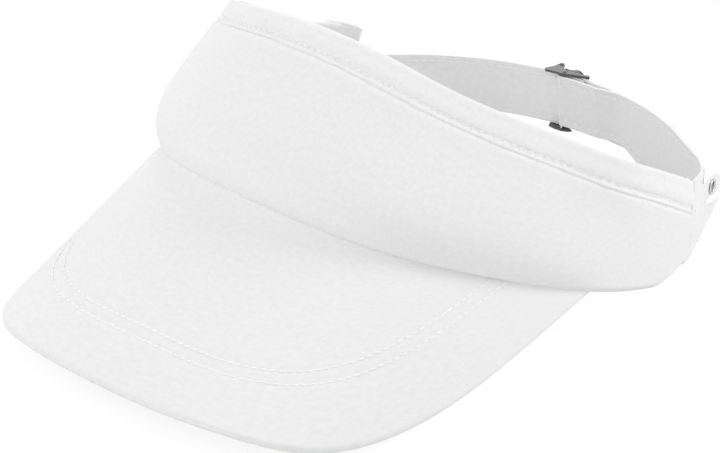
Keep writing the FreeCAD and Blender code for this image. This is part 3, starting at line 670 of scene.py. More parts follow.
terry = lay_cloth("sweatband_terry", 420, 50, terry_place, run=252.0, rise=28.0)
terry.data.flip_normals()
terry_finish = looped_terry("Looped terry", (0.86, 0.86, 0.865))
fit_cloth(terry, TERRY_THICK * 0.5, 0.2, terry_finish, "sweatband")
terry_rows = []
for height in (TERRY_ROW_INSET, TERRY_HEIGHT - TERRY_ROW_INSET):
    terry_rows.append(turned_over(crown_row(lambda a: height, TERRY_MIDDLE - 0.1, TERRY_END - 1)))
stitch_rows("sweatband_stitching", terry_rows, None)


# ------------------------------------------------------------------ brim covers
# Two twill covers over a stiff board, turned in at the outer edge. Both layers are stitched through
# the board in two curved rows, which leave shallow grooves, and the root runs in under the band.

BRIM_OVERHANG = 1.2
BRIM_HALF_WIDTH = RING_HALF_WIDTH + BRIM_OVERHANG
BRIM_BACK = -4.1
BRIM_REACH = 133.3
BRIM_SQUARENESS = 3.55
BRIM_DROOP = (50.0, -17.9, 5.3)
BRIM_ROLL = 10.8
BRIM_ROLL_SPAN = 67.5
BRIM_FAR_HOLLOW = 3.0
BRIM_SIDE = 89.9
COVER_THICK = 0.6
BOARD_THICK = 1.8
BRIM_ROWS = (14.6, 11.9)
EDGE_BAND = 20.0
EDGE_ROUND = 0.9
EDGE_DROP = 1.55
ROOT_TUCK = 0.8
RIB_MEASURE_INSET = 13.0
RIB_INNER_SHARE = 0.6
RIB_BAND_SHARE = 0.45
HALVINGS = 22
BRIM_ROW_DEPTH = 0.13
BRIM_ROW_REACH = 0.78
BRIM_THREAD = 0.6
BRIM_THICK = 2 * COVER_THICK + BOARD_THICK + 2 * PLY_GAP
RING_SIDES = [ring_plan(a / 10.0)[0] for a in range(901)]


def angle_at(x):
    """The place round the ring whose lower edge lies x from the middle."""
    far = min(abs(x), RING_SIDES[-1])
    step = min(max(bisect.bisect_left(RING_SIDES, far), 1), len(RING_SIDES) - 1)
    share = (far - RING_SIDES[step - 1]) / (RING_SIDES[step] - RING_SIDES[step - 1])
    return (step - 1 + share) / 10.0


def brim_height(x, y):
    """The brim's upper face: it falls away from the ring's edge, more steeply in the middle."""
    a = angle_at(x)
    forward = ring_plan(a)[1] - y
    wide = (x / (0.9 * BRIM_HALF_WIDTH)) ** 2
    droop = BRIM_DROOP[0] + BRIM_DROOP[1] * wide + BRIM_DROOP[2] * wide ** 2
    onwards = min(max(forward / BRIM_ROLL_SPAN, 0.0), 1.0)
    roll = BRIM_ROLL * (max(forward, 0.0) / BRIM_ROLL_SPAN) ** 2
    if x < 0:
        roll += BRIM_FAR_HOLLOW * wide * 4 * onwards * (1 - onwards)
    return ring_edge(a) - forward * math.tan(math.radians(droop)) - roll


def brim_point(x, y, down):
    """A place on the brim, down below its upper face, square to the face."""
    step = 0.05
    slope_x = (brim_height(x + step, y) - brim_height(x - step, y)) / (2 * step)
    slope_y = (brim_height(x, y + step) - brim_height(x, y - step)) / (2 * step)
    length = math.sqrt(1 + slope_x ** 2 + slope_y ** 2)
    shift = down / length
    return tip_back(x + shift * slope_x, y + shift * slope_y, brim_height(x, y) - shift)


def brim_outline(turn, inset):
    """The squared half oval of the brim's edge, drawn in by inset: turn is 0 in front, 90 at the side."""
    power = 2.0 / BRIM_SQUARENESS
    x = (BRIM_HALF_WIDTH - inset) * abs(sin_d(turn)) ** power
    return math.copysign(x, turn), BRIM_BACK - (BRIM_REACH - inset) * cos_d(turn) ** power


def edge_measure():
    """Turns round the outline with the length of edge up to each, so that ribs can be evenly spaced."""
    turns = [BRIM_SIDE * math.copysign(abs(k / 600.0 - 1.0) ** 1.5, k - 600) for k in range(1201)]
    lengths = [0.0]
    for here, there in zip(turns, turns[1:]):
        x0, y0 = brim_outline(here, RIB_MEASURE_INSET)
        x1, y1 = brim_outline(there, RIB_MEASURE_INSET)
        lengths.append(lengths[-1] + math.hypot(x1 - x0, y1 - y0))
    return turns, lengths


EDGE_TURNS, EDGE_LENGTHS = edge_measure()


def brim_turn(across):
    """The turn of a rib that lies a share of the way along the brim's edge."""
    run = EDGE_LENGTHS[-1] * across
    step = min(max(bisect.bisect_left(EDGE_LENGTHS, run), 1), len(EDGE_TURNS) - 1)
    share = (run - EDGE_LENGTHS[step - 1]) / (EDGE_LENGTHS[step] - EDGE_LENGTHS[step - 1])
    return EDGE_TURNS[step - 1] + (EDGE_TURNS[step] - EDGE_TURNS[step - 1]) * share


def root_gap(x, y):
    """How far a place lies in front of the ring's lower edge; the covers run ROOT_TUCK in behind it."""
    return ring_plan(angle_at(x))[1] + ROOT_TUCK - y


def inset_at(x, y):
    """The distance in from the edge at a place on the brim."""
    low, high = 0.0, BRIM_HALF_WIDTH - 1.0
    for _ in range(HALVINGS):
        inset = (low + high) / 2
        wide = min(abs(x) / (BRIM_HALF_WIDTH - inset), 1.0)
        long = min(max((BRIM_BACK - y) / (BRIM_REACH - inset), 0.0), 1.0)
        if wide ** BRIM_SQUARENESS + long ** BRIM_SQUARENESS < 1.0:
            low = inset
        else:
            high = inset
    return low


def brim_rib(turn):
    """One line across the brim: the edge band's inner end, and where the line meets the root."""
    low, high = 0.0, EDGE_BAND
    if root_gap(*brim_outline(turn, EDGE_BAND)) > 0.0:
        low = EDGE_BAND
    else:
        for _ in range(HALVINGS):
            middle = (low + high) / 2
            if root_gap(*brim_outline(turn, middle)) > 0.0:
                low = middle
            else:
                high = middle
    x, y = brim_outline(turn, low)
    reach = max(root_gap(x, y), 0.0)
    return min(EDGE_BAND, RIB_BAND_SHARE * (low + reach)), (x, y + reach)


def brim_spot(rib, turn, share):
    """From the root (share 0) to the edge (share 1): plan position, and the distance in from the edge."""
    band, root = rib
    if share > RIB_INNER_SHARE:
        inset = band * (1 - (share - RIB_INNER_SHARE) / (1 - RIB_INNER_SHARE))
        return (*brim_outline(turn, inset), inset)
    x, y = brim_outline(turn, band)
    x = root[0] + (x - root[0]) * share / RIB_INNER_SHARE
    y = root[1] + (y - root[1]) * share / RIB_INNER_SHARE
    return x, y, inset_at(x, y)


def brim_cover_place(upper):
    """A cover from its root to its edge, rounded over there and drawn down along each stitch row."""
    ribs = {}

    def place(across, share):
        turn = brim_turn(across)
        if turn not in ribs:
            ribs[turn] = brim_rib(turn)
        x, y, inset = brim_spot(ribs[turn], turn, share)
        depth = 0.0
        if inset < EDGE_ROUND:
            depth = EDGE_DROP * (1 - math.sqrt(max(1 - (1 - inset / EDGE_ROUND) ** 2, 0.0)))
        run = EDGE_LENGTHS[-1] * across
        for row in BRIM_ROWS:
            away = inset - row
            depth += 0.12 * dip(away, 0.0, 0.9) + 0.10 * pucker(run, away, 1.8)
        spot = Vector((x, y, 0.0))
        depth -= rumple(spot, 30.0, 0.30) + rumple(spot, 7.0, 0.09)
        return brim_point(x, y, depth if upper else BRIM_THICK - depth)
    return place


for upper, cover_name, node in ((True, "brim_top_cloth", "brim_top_cover"),
                                (False, "brim_under_cloth", "brim_under_cover")):
    cover = lay_cloth(cover_name, 300, 96, brim_cover_place(upper), run=232.0, rise=100.0)
    if upper:
        cover.data.flip_normals()
    fit_cloth(cover, COVER_THICK, 0.15, twill, node)


def brim_row(inset, down):
    """A row of stitches inset from the edge, down below the brim's upper face."""
    def spot(share, below):
        return brim_point(*brim_outline(brim_turn(0.5 + share), inset), below)
    half = BRIM_ROW_REACH / 2
    return row_on(lambda share: spot(share, down), lambda share: spot(share, down - 1.0), -half, half, 400)


brim_rows = []
for inset in BRIM_ROWS:
    brim_rows.append(brim_row(inset, BRIM_ROW_DEPTH))
    brim_rows.append(turned_over(brim_row(inset, BRIM_THICK - BRIM_ROW_DEPTH)))
stitch_rows("brim_stitching_rows", brim_rows, "brim_stitching", gauge=BRIM_THREAD)


# ------------------------------------------------------------------ brim board and edge seam
# The board is a die-cut plastic sheet, hidden between the covers. Outside it the two covers are
# joined by a narrow roll of seam that closes the brim's edge.

BOARD_INSET = 2.4
SEAM_INSET = 0.75
SEAM_WIDTH = BOARD_INSET - 0.9


def edge_seam_place(across, share):
    turn = brim_turn(across)
    x, y = brim_outline(turn, SEAM_INSET + SEAM_WIDTH * share)
    spot = Vector((x, y, 0.0))
    return brim_point(x, y, COVER_THICK + PLY_GAP + 0.05 + rumple(spot, 3.0, 0.06))


edge_seam = lay_cloth("brim_edge_seam_cloth", 300, 6, edge_seam_place, run=330.0, rise=2.0)
fit_cloth(edge_seam, BOARD_THICK - 0.1, 0.3, twill, "brim_edge_seam")


def board_plastic(name, colour):
    """Calendered sheet plastic with a fine, uneven grain."""
    material, tree, shader = start_material(name, {})
    place = add_node(tree, "ShaderNodeTexCoord")
    grain = add_node(tree, "ShaderNodeTexNoise", {"Scale": 900.0, "Detail": 3.0})
    tree.links.new(place.outputs["Object"], grain.inputs["Vector"])
    shades = shade(tree, grain.outputs["Fac"], toned(colour, 0.9), colour)
    tree.links.new(shades.outputs["Color"], shader.inputs["Base Color"])
    roughen(tree, grain.outputs["Fac"], 0.4, 0.6)
    emboss(tree, grain.outputs["Fac"], 0.2, 0.0001)
    return material


def finish_node(node, material):
    """A part taken as it is from the frame, given its finish."""
    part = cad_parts[node]
    part.data.materials.clear()
    part.data.materials.append(material)
    return part


finish_node("brim_board", board_plastic("Brim board plastic", (0.78, 0.78, 0.76)))


# ------------------------------------------------------------------ adjusting strap
# A folded and pressed strip of the panel's twill. Its sewn end lies inside the far end of the band,
# and its loose tongue passes through the buckle and under the keeper on the near side.

STRAP_RADIUS = 90.0
STRAP_THICK = 1.4
STRAP_WIDTH = 19.5
STRAP_MID_Z = 4.4
STRAP_TIP = 46.0
STRAP_SEWN = 173.0
STRAP_TIP_ROUND = 3.0
STRAP_TAPER_FROM = 142.0
STRAP_TAPER_RISE = 11.6
TONGUE_SPRING = 0.2
SIDE_BOW = 2.0
ROW_INSET = 2.2
STRAP_ROW_END = 141.0
STRAP_THREAD = 0.5
STRAP_FACE = STRAP_RADIUS + STRAP_THICK / 2
STRAP_BACK = STRAP_RADIUS - STRAP_THICK / 2


def wrap(phi, radius, z):
    """A place on the strap's cylinder, phi degrees round from the wearer's left."""
    return Vector((radius * cos_d(phi), AXIS_Y + radius * sin_d(phi), z))


def side_bow(phi):
    """How far the strap and the tab bow outwards together behind the near end of the band."""
    return SIDE_BOW * ease(phi, 29.0, 39.0) * (1 - ease(phi, 40.0, 59.0))


def strap_place(up, across):
    """The strap from its rounded tip to its sewn end, where its lower side is cut away."""
    z = STRAP_WIDTH * (up - 0.5)
    from_edge = STRAP_WIDTH / 2 - abs(z)
    cut_back = 0.0
    if from_edge < STRAP_TIP_ROUND:
        cut_back = STRAP_TIP_ROUND - math.sqrt(STRAP_TIP_ROUND ** 2 - (STRAP_TIP_ROUND - from_edge) ** 2)
    first = STRAP_TIP + math.degrees(cut_back / STRAP_RADIUS)
    phi = first + (STRAP_SEWN - first) * across
    rise = STRAP_TAPER_RISE * max(phi - STRAP_TAPER_FROM, 0.0) / (STRAP_SEWN - STRAP_TAPER_FROM)
    z = rise + (z + STRAP_WIDTH / 2) * (STRAP_WIDTH - rise) / STRAP_WIDTH - STRAP_WIDTH / 2
    soft = rumple(Vector((phi / 2.0, z, 5.0)), 6.0, 0.12) - 0.10 * dip(from_edge, ROW_INSET, 1.0)
    spring = TONGUE_SPRING * (1 - ease(phi, STRAP_TIP, STRAP_TIP + 8.0))
    return wrap(phi, STRAP_BACK + 0.12 - soft + spring + side_bow(phi), STRAP_MID_Z + z)


# painted light: the strap is the panel's twill, coloured lighter than the panel to brighten it in the band's
# shade
twill_lightened_against_shade = woven("Twill lightened against shade", (0.925, 0.925, 0.93), rib=0.62, rib_turn=58.0, relief=0.09)
strap = lay_cloth("adjusting_strap_cloth", 40, 300, strap_place, run=STRAP_WIDTH, rise=192.0)
fit_cloth(strap, STRAP_THICK - 0.2, 0.3, twill_lightened_against_shade, "adjusting_strap", body="strap")
strap_rows = []
for side in (-1, 1):
    row_z = STRAP_MID_Z + side * (STRAP_WIDTH / 2 - ROW_INSET)
    for face, out in ((STRAP_FACE - 0.1, 1.0), (STRAP_BACK + 0.22, -1.0)):
        strap_rows.append(row_on(lambda phi: wrap(phi, face + side_bow(phi), row_z),
                                 lambda phi: wrap(phi, face + out + side_bow(phi), row_z),
                                 STRAP_TIP + 8.0, STRAP_ROW_END, 160))
stitch_rows("strap_stitching_rows", strap_rows, "strap_stitching", "strap", STRAP_THREAD)


# ------------------------------------------------------------------ buckle tab
# A short strap of the same twill is sewn inside the near end of the band. It runs back, folds round
# the buckle's bar and is sewn down on itself.

TAB_THICK = 1.0
TAB_ROOT = 13.0
TAB_FLY = 8.0
TAB_WIDTH = 18.5
TAB_BELLY = 5.5
TAB_OFFSET_Z = 1.05
TAB_CLIMB = 4.0
TAB_RADIUS = 88.5
TAB_DIP = 2.4
TAB_BOW = 1.2
BAR_ANGLE = 102.0
BAR_RING = 87.3
TAB_RING = 1.2
TAB_LEG_SHARE = 0.8
TAB_FLY_SHARE = 0.87
TAB_FOLD_LEAN = 0.55
TAB_RUN = 1.54
TAB_ROW_START = 0.03
TAB_ROW_END = 0.79
TAB_END_ROW_SHARE = 0.745
TAB_END_ROW_ANGLE = 98.0


def tab_belly(phi):
    """The lower edge hangs in a shallow belly between the near end of the band and the buckle."""
    return TAB_BELLY * ease(phi, 47.0, 65.0) * (1 - ease(phi, 75.0, 86.0))


def tab_width(phi):
    return TAB_WIDTH + tab_belly(phi)


def tab_rise(phi):
    return TAB_OFFSET_Z + TAB_CLIMB * (1 - ease(phi, 30.0, 62.0)) - tab_belly(phi) / 2


def tab_line(share):
    """The tab seen from above: along its inner leg, round the bar, then back along its fly."""
    if share <= TAB_LEG_SHARE:
        phi = TAB_ROOT + (BAR_ANGLE - TAB_ROOT) * share / TAB_LEG_SHARE
        return phi, TAB_RADIUS - TAB_DIP * ease(phi, 86.0, 93.0) + TAB_BOW * side_bow(phi)
    if share < TAB_FLY_SHARE:
        turn = 180.0 * (share - TAB_LEG_SHARE) / (TAB_FLY_SHARE - TAB_LEG_SHARE)
        return BAR_ANGLE + math.degrees(TAB_RING * sin_d(turn) / BAR_RING), BAR_RING - TAB_RING * cos_d(turn)
    fly = math.degrees(TAB_FLY / BAR_RING)
    return BAR_ANGLE - fly * (share - TAB_FLY_SHARE) / (1 - TAB_FLY_SHARE), BAR_RING + TAB_RING


def tab_spot(share, up, side):
    """A place on the tab: a share of the way along, up from its middle, and side out from its line."""
    phi, radius = tab_line(share)
    step = 0.002
    before = wrap(*tab_line(max(share - step, 0.0)), 0.0)
    after = wrap(*tab_line(min(share + step, 1.0)), 0.0)
    along = (after - before).normalized()
    return wrap(phi, radius, STRAP_MID_Z + tab_rise(phi) + up) + Vector((along.y, -along.x, 0.0)) * side


def tab_place(across, up):
    phi = tab_line(across)[0]
    rise = tab_width(phi) * (up - 0.5)
    from_edge = tab_width(phi) / 2 - abs(rise)
    sunk = 0.0
    if across < TAB_LEG_SHARE:
        run = phi * TAB_RUN
        sunk = 0.16 * dip(from_edge, ROW_INSET, 1.0) + 0.10 * pucker(run, from_edge - ROW_INSET, 1.8)
        sunk -= rumple(Vector((phi / 2.0, rise, 9.0)), 7.0, 0.16)
    spot = tab_spot(across, rise, -TAB_THICK / 2 + max(sunk, -0.1))
    lean = math.radians(TAB_FOLD_LEAN * 2 * (up - 0.5)) * ease(across, 0.66, TAB_LEG_SHARE)
    x = spot.x
    y = spot.y - AXIS_Y
    leant_x = x * math.cos(lean) - y * math.sin(lean)
    leant_y = x * math.sin(lean) + y * math.cos(lean)
    return Vector((leant_x, AXIS_Y + leant_y, spot.z))


tab = lay_cloth("buckle_tab_cloth", 280, 40, tab_place, run=160.0, rise=24.0)
tab.data.flip_normals()
fit_cloth(tab, TAB_THICK - 0.1, 0.3, twill, "buckle_tab")
tab_rows = []
for side in (-1, 1):
    def tab_row_spot(share, out=0.0):
        edge = side * (tab_width(tab_line(share)[0]) / 2 - ROW_INSET)
        return tab_spot(share, edge, -TAB_THICK / 2 + 0.12 - out)
    tab_rows.append(row_on(tab_row_spot, lambda share: tab_row_spot(share, 1.0),
                           TAB_ROW_START, TAB_ROW_END, 160))
end_row_half = tab_width(TAB_END_ROW_ANGLE) / 2 - ROW_INSET
tab_rows.append(row_on(lambda edge: tab_spot(TAB_END_ROW_SHARE, edge, -TAB_THICK / 2 + 0.05),
                       lambda edge: tab_spot(TAB_END_ROW_SHARE, edge, -TAB_THICK / 2 - 0.95),
                       -end_row_half, end_row_half, 12))
stitch_rows("tab_stitching_rows", tab_rows, "tab_stitching", gauge=STRAP_THREAD)


# ------------------------------------------------------------------ tail keeper and its eyelet
# Behind the near hem a narrow tail of twill reaches over the strap's tongue and holds a small metal
# eyelet. Over its root lies the hem's own flared corner, a triangle that stands away from the band.

KEEPER_THICK = 1.0
KEEPER_START = 27.8
KEEPER_END = 47.2
KEEPER_INNER = 91.9
KEEPER_NECK = 2.3
KEEPER_EAR = 1.3
KEEPER_TIP_ROUND = 2.2
KEEPER_LIFT = 5.6
KEEPER_LIFT_START = 39.5
KEEPER_LIFT_END = 48.0
EYELET_ANGLE = 43.0
EYELET_RISE = 4.6
EYELET_FACING = 20.0
EYELET_HOLE = 1.8
EYELET_BEAD = 0.47
EYELET_BEAD_MIDDLE = 2.28
EYELET_BEAD_FOOT = 0.38
EYELET_BEAD_RISE = 0.42
FLARE_START = KEEPER_START - 0.3
FLARE_TIP = 40.0
FLARE_LOW = -5.0
FLARE_LOW_RISE = 7.0
FLARE_HIGH = 9.3
FLARE_HIGH_FALL = 6.3
FLARE_LIFT = 4.8
FLARE_THICK = 0.85


def keeper_lift(phi, up):
    """The tail's end springs away from the strap."""
    return KEEPER_LIFT * ease(phi, KEEPER_LIFT_START, KEEPER_LIFT_END) * ease(up, -12.0, 0.0)


def keeper_half(phi):
    """Half the tail's width: a narrow neck, an ear round the eyelet, and a rounded end."""
    half = KEEPER_NECK + KEEPER_EAR * math.exp(-((phi - EYELET_ANGLE) / 2.8) ** 4)
    into = max(phi - (KEEPER_END - KEEPER_TIP_ROUND), 0.0) / KEEPER_TIP_ROUND
    return half * math.sqrt(max(1.0 - into ** 2, 0.02))


def keeper_place(across, share):
    phi = KEEPER_START + (KEEPER_END - KEEPER_START) * across
    up = EYELET_RISE + keeper_half(phi) * (2 * share - 1)
    edge = keeper_half(phi) * (1 - abs(2 * share - 1))
    soft = rumple(Vector((phi / 1.5, up, 2.0)), 3.0, 0.35) * ease(edge, 0.0, 2.0) * dip(phi, 33.0, 8.0)
    outer = KEEPER_INNER + keeper_lift(phi, up) + KEEPER_THICK - 0.1
    return wrap(phi, outer + min(soft, 0.1), STRAP_MID_Z + up)


keeper = lay_cloth("tail_keeper_cloth", 90, 40, keeper_place, run=32.0, rise=7.0)
eyelet_out = Vector((cos_d(EYELET_FACING), sin_d(EYELET_FACING), 0.0))
eyelet_middle = wrap(EYELET_ANGLE, KEEPER_INNER + keeper_lift(EYELET_ANGLE, EYELET_RISE) + 0.5,
                     STRAP_MID_Z + EYELET_RISE)
eyelet_here = stand(eyelet_middle)
eyelet_axis = (stand(eyelet_middle + eyelet_out) - eyelet_here).normalized()
bm = bmesh.new()
bm.from_mesh(keeper.data)
punched = []
for vert in bm.verts:
    away = vert.co - eyelet_here
    if (away - eyelet_axis * away.dot(eyelet_axis)).length < (EYELET_HOLE + 0.3) / 1000.0:
        punched.append(vert)
bmesh.ops.delete(bm, geom=punched, context="VERTS")
bm.to_mesh(keeper.data)
bm.free()
fit_cloth(keeper, KEEPER_THICK - 0.15, 0.25, twill, "tail_keeper")


def flare_place(across, share):
    """The flared corner: wide at the hem, drawn to a point that stands off the strap."""
    phi = FLARE_START + (FLARE_TIP - FLARE_START) * across
    low = FLARE_LOW + FLARE_LOW_RISE * across
    high = FLARE_HIGH - FLARE_HIGH_FALL * across ** 0.8
    up = low + (high - low) * share
    lift = 0.15 + FLARE_LIFT * across ** 1.5 * (0.75 + 0.25 * share)
    soft = rumple(Vector((phi, up, 7.0)), 5.0, 0.45) * ease(across, 0.0, 0.3)
    curl = 0.35 * ease(share, 0.82, 1.0)
    return wrap(phi, KEEPER_INNER + KEEPER_THICK + lift + soft + curl, STRAP_MID_Z + up)


flare = lay_cloth("hem_flare_cloth", 60, 60, flare_place, run=20.0, rise=14.0)
thicken(flare, FLARE_THICK, 0.25)
flare.data.materials.append(twill)
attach(flare, "visor")


def plated(name, colour, roughness):
    """Plated metal: fine polish marks, faint clouding, and a slightly softer shine in the marks."""
    material, tree, shader = start_material(name, {"Metallic": 1.0})
    place = add_node(tree, "ShaderNodeTexCoord")
    clouds = add_node(tree, "ShaderNodeTexNoise", {"Scale": 260.0, "Detail": 4.0})
    tree.links.new(place.outputs["Object"], clouds.inputs["Vector"])
    shades = shade(tree, clouds.outputs["Fac"], toned(colour, 0.82), colour)
    tree.links.new(shades.outputs["Color"], shader.inputs["Base Color"])
    marks = add_node(tree, "ShaderNodeTexNoise", {"Scale": 1800.0, "Detail": 2.0})
    tree.links.new(place.outputs["Object"], marks.inputs["Vector"])
    roughen(tree, marks.outputs["Fac"], roughness * 0.8, roughness * 1.4)
    emboss(tree, marks.outputs["Fac"], 0.12, 0.00005)
    return material


nickel = plated("Nickel plating", (0.64, 0.64, 0.65), 0.27)


def turned_ring(name, section):
    """A ring turned about the eyelet's axis from its section of (radius, distance outwards)."""
    bm = bmesh.new()
    side = eyelet_axis.orthogonal().normalized()
    corners = []
    for radius, out in section:
        corners.append(bm.verts.new(eyelet_here + (side * radius + eyelet_axis * out) / 1000.0))
    edges = [bm.edges.new(pair) for pair in zip(corners, corners[1:] + corners[:1])]
    bmesh.ops.spin(bm, geom=corners + edges, cent=eyelet_here, axis=eyelet_axis, angle=math.tau, steps=64,
                   use_merge=True)
    bmesh.ops.recalc_face_normals(bm, faces=bm.faces)
    return dress(name, bm)


bead = []
for k in range(9):
    turn = 180.0 * k / 8
    bead.append((EYELET_BEAD_MIDDLE + EYELET_BEAD * cos_d(turn),
                 EYELET_BEAD_FOOT + EYELET_BEAD_RISE * sin_d(turn)))
eyelet_section = bead + [(EYELET_HOLE, 0.2), (EYELET_HOLE, -0.85), (1.9, -0.95), (2.1, -0.85), (2.1, 0.30)]
eyelet = turned_ring("eyelet_ring", eyelet_section)
eyelet.data.materials.append(nickel)
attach(eyelet, "visor")
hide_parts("eyelet")
finish_node("eyelet_washer", nickel)


# ------------------------------------------------------------------ buckle
# Two plated side plates carry the tab's bar and the lever's pin, riveted over at both ends. The lever
# is bent from flat stock, with a rolled knuckle and lip, and presses the strap against the tab's bar.

BUCKLE_TOP = 16.05
BUCKLE_FOOT = -6.15
PLATE_THICK = 0.9
LOW_THICK = 0.7
EDGE_ROUNDING = 0.2
PIN_ANGLE = 104.6
PIN_RING = 92.65
BAR_RIVET = 0.85
PIN_RIVET = 0.95
LOW_RIVET_SHARE = 0.6
PIN_LUG = ((103.8, 92.6), (104.1, 93.3), (104.6, 93.65), (105.1, 93.3), (105.4, 92.6))
TOP_PLATE = ((106.6, 85.9), (104.8, 86.0), (103.2, 86.1), (102.4, 85.95), (101.6, 86.0), (100.6, 86.9),
             (98.6, 87.8), (96.4, 88.9), (96.1, 89.6), (96.6, 90.1), (98.4, 89.9), (100.4, 89.3),
             (101.9, 89.2), (102.9, 89.8), (103.6, 91.2), *PIN_LUG, (105.6, 91.2), (106.0, 89.6),
             (106.6, 88.4), (107.0, 87.4), (106.9, 86.4))
LOW_PLATE = ((105.4, 87.2), (103.6, 86.2), (101.8, 86.0), (100.2, 86.7), (99.4, 87.9), (100.8, 89.2),
             (102.4, 90.2), (103.5, 91.4), *PIN_LUG, (105.7, 91.2), (105.7, 89.0))


def round_edges(piece):
    """A stamped part's sharp edges, tumbled smooth."""
    edge = piece.modifiers.new("Rounded edges", "BEVEL")
    edge.width = EDGE_ROUNDING / 1000.0
    edge.segments = 3
    edge.limit_method = "ANGLE"
    edge.angle_limit = math.radians(40)
    edge.harden_normals = True


def press_plate(bm, outline, low, thick):
    """A plate cut to an outline of (degrees round, distance from the axis), lying level at a height."""
    face = bm.faces.new([bm.verts.new(stand(wrap(phi, radius, low))) for phi, radius in outline])
    grown = bmesh.ops.extrude_face_region(bm, geom=[face])
    rise = stand(wrap(0, 0, thick)) - stand(wrap(0, 0, 0))
    raised = [part for part in grown["geom"] if isinstance(part, bmesh.types.BMVert)]
    bmesh.ops.translate(bm, verts=raised, vec=rise)


def rivet(bm, phi, radius, height, gauge):
    """The peened end of a bar or pin, a low dome on a plate's outer face."""
    place = Matrix.Translation(stand(wrap(phi, radius, height)))
    wide = gauge / 1000.0
    bmesh.ops.create_uvsphere(bm, u_segments=20, v_segments=10, radius=1.0,
                              matrix=place @ Matrix.Diagonal((wide, wide, wide * 0.45, 1.0)))


bm = bmesh.new()
press_plate(bm, TOP_PLATE, BUCKLE_TOP - PLATE_THICK, PLATE_THICK)
press_plate(bm, LOW_PLATE, BUCKLE_FOOT, LOW_THICK)
for phi, radius, gauge in ((BAR_ANGLE, BAR_RING, BAR_RIVET), (PIN_ANGLE, PIN_RING, PIN_RIVET)):
    rivet(bm, phi, radius, BUCKLE_TOP, gauge)
    rivet(bm, phi, radius, BUCKLE_FOOT, LOW_RIVET_SHARE * gauge)
bmesh.ops.recalc_face_normals(bm, faces=bm.faces)
side_frame = dress("buckle_side_frame", bm)
round_edges(side_frame)
# painted reflection and shade: the side plates are coloured near black to show dark reflections and the shade
# between the buckle's parts
side_frame.data.materials.append(plated("Nickel darkened as painted reflection", (0.13, 0.13, 0.135), 0.26))
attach(side_frame, "visor")
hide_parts("buckle_frame")

bm = bmesh.new()
bm.from_mesh(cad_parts["buckle_lever"].data)
bmesh.ops.remove_doubles(bm, verts=bm.verts, dist=0.000005)
bmesh.ops.dissolve_limit(bm, angle_limit=math.radians(1.0), verts=bm.verts, edges=bm.edges)
clamp_lever = dress("buckle_clamp_lever", bm)
round_edges(clamp_lever)
clamp_lever.data.materials.append(nickel)
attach(clamp_lever, "lever")
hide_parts("buckle_lever")
steel = plated("Bright steel", (0.60, 0.60, 0.61), 0.18)
for node in ("tab_bar", "lever_pin"):
    finish_node(node, steel)


# ------------------------------------------------------------------ floor, light and camera
# The visor stands on a plain white table that carries on out of sight, in even studio light.

TABLE_HEIGHT = -0.0014
TABLE_HALF = 6.0
TABLE_GLOW = 0.82
ROOM_LIGHT = 0.67
LAMP_SIZE = 1.2
LAMP_AIM = (0.0, 0.0, 0.05)
LAMPS = (("Left lamp", (-1.42, -1.36, 1.38), 12.4), ("Right lamp", (1.42, 1.36, 1.38), 19.5),
         ("Front lamp", (1.37, -1.41, 1.38), 3.8), ("Low lamp", (-0.7, -2.24, 0.55), 3.0),
         ("Back lamp", (-1.37, 1.41, 1.38), 8.5))
CAMERA_LENS = 354.735
CAMERA_DISTANCE = 2.39837
CAMERA_AIM = Vector((0.004695, -0.010501, 0.025045))
CAMERA_RIGHT = Vector((0.72272, 0.69102, -0.01303))
CAMERA_UP = Vector((-0.32085, 0.35215, 0.87923))
CAMERA_BACK = Vector((0.61215, -0.63125, 0.47623))


def seen_directly(tree):
    """One for what is looked at, straight on or in metal or glass, and nothing for plain light."""
    path = add_node(tree, "ShaderNodeLightPath")
    seen = add_node(tree, "ShaderNodeMath", operation="MAXIMUM")
    tree.links.new(path.outputs["Is Camera Ray"], seen.inputs[0])
    tree.links.new(path.outputs["Is Glossy Ray"], seen.inputs[1])
    through = add_node(tree, "ShaderNodeMath", operation="MAXIMUM")
    tree.links.new(seen.outputs["Value"], through.inputs[0])
    tree.links.new(path.outputs["Is Transmission Ray"], through.inputs[1])
    return through.outputs["Value"]


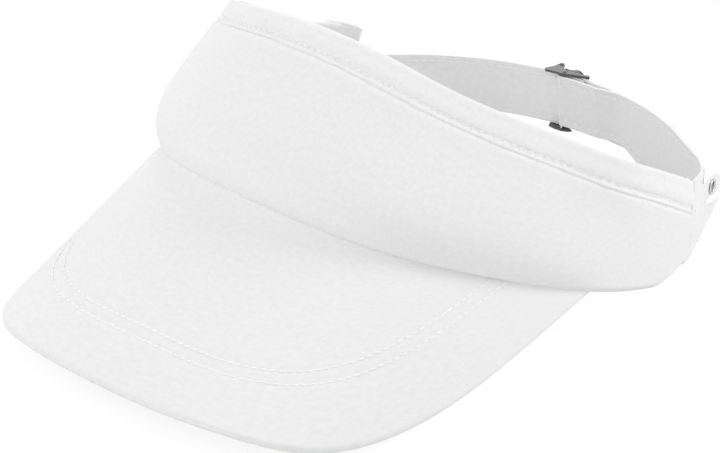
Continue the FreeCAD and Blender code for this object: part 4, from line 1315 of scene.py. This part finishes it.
bm = bmesh.new()
bmesh.ops.create_grid(bm, x_segments=2, y_segments=2, size=TABLE_HALF)
for vert in bm.verts:
    vert.co.z = TABLE_HEIGHT
table = dress("table", bm)
matt = {"Roughness": 0.9, "Specular IOR Level": 0.0, "Emission Color": (1.0, 1.0, 1.0, 1.0)}
table_white, tree, shader = start_material("Table white", matt)
seen = seen_directly(tree)
glow = add_node(tree, "ShaderNodeMath", {1: TABLE_GLOW}, operation="MULTIPLY")
tree.links.new(seen, glow.inputs[0])
tree.links.new(glow.outputs["Value"], shader.inputs["Emission Strength"])
paint = add_node(tree, "ShaderNodeMix", {"A": (0.80, 0.80, 0.80, 1.0), "B": (0.24, 0.24, 0.24, 1.0)},
                 data_type="RGBA")
tree.links.new(seen, paint.inputs["Factor"])
tree.links.new(paint.outputs["Result"], shader.inputs["Base Color"])
table.data.materials.append(table_white)

world = bpy.data.worlds.new("Studio")
bpy.context.scene.world = world
world.use_nodes = True
tree = world.node_tree
air = tree.nodes["Background"]
air.inputs["Color"].default_value = (1.0, 1.0, 1.0, 1.0)
level = add_node(tree, "ShaderNodeMapRange", {"To Min": ROOM_LIGHT, "To Max": 1.0})
tree.links.new(seen_directly(tree), level.inputs["Value"])
tree.links.new(level.outputs["Result"], air.inputs["Strength"])

for lamp_name, place, power in LAMPS:
    lamp = bpy.data.lights.new(lamp_name, "AREA")
    lamp.shape = "DISK"
    lamp.size = LAMP_SIZE
    lamp.energy = power
    holder = bpy.data.objects.new(lamp_name, lamp)
    bpy.context.scene.collection.objects.link(holder)
    holder.location = place
    holder.rotation_euler = (Vector(LAMP_AIM) - Vector(place)).to_track_quat("-Z", "Y").to_euler()

camera_data = bpy.data.cameras.new("Camera")
camera_data.sensor_width = 36.0
camera_data.lens = CAMERA_LENS
camera_data.clip_end = 50.0
camera = bpy.data.objects.new("Camera", camera_data)
bpy.context.scene.collection.objects.link(camera)
turn = Matrix((CAMERA_RIGHT, CAMERA_UP, CAMERA_BACK)).transposed().to_4x4()
camera.matrix_world = Matrix.Translation(CAMERA_AIM + CAMERA_BACK * CAMERA_DISTANCE) @ turn
bpy.context.scene.camera = camera
bpy.context.scene.view_settings.view_transform = "Standard"
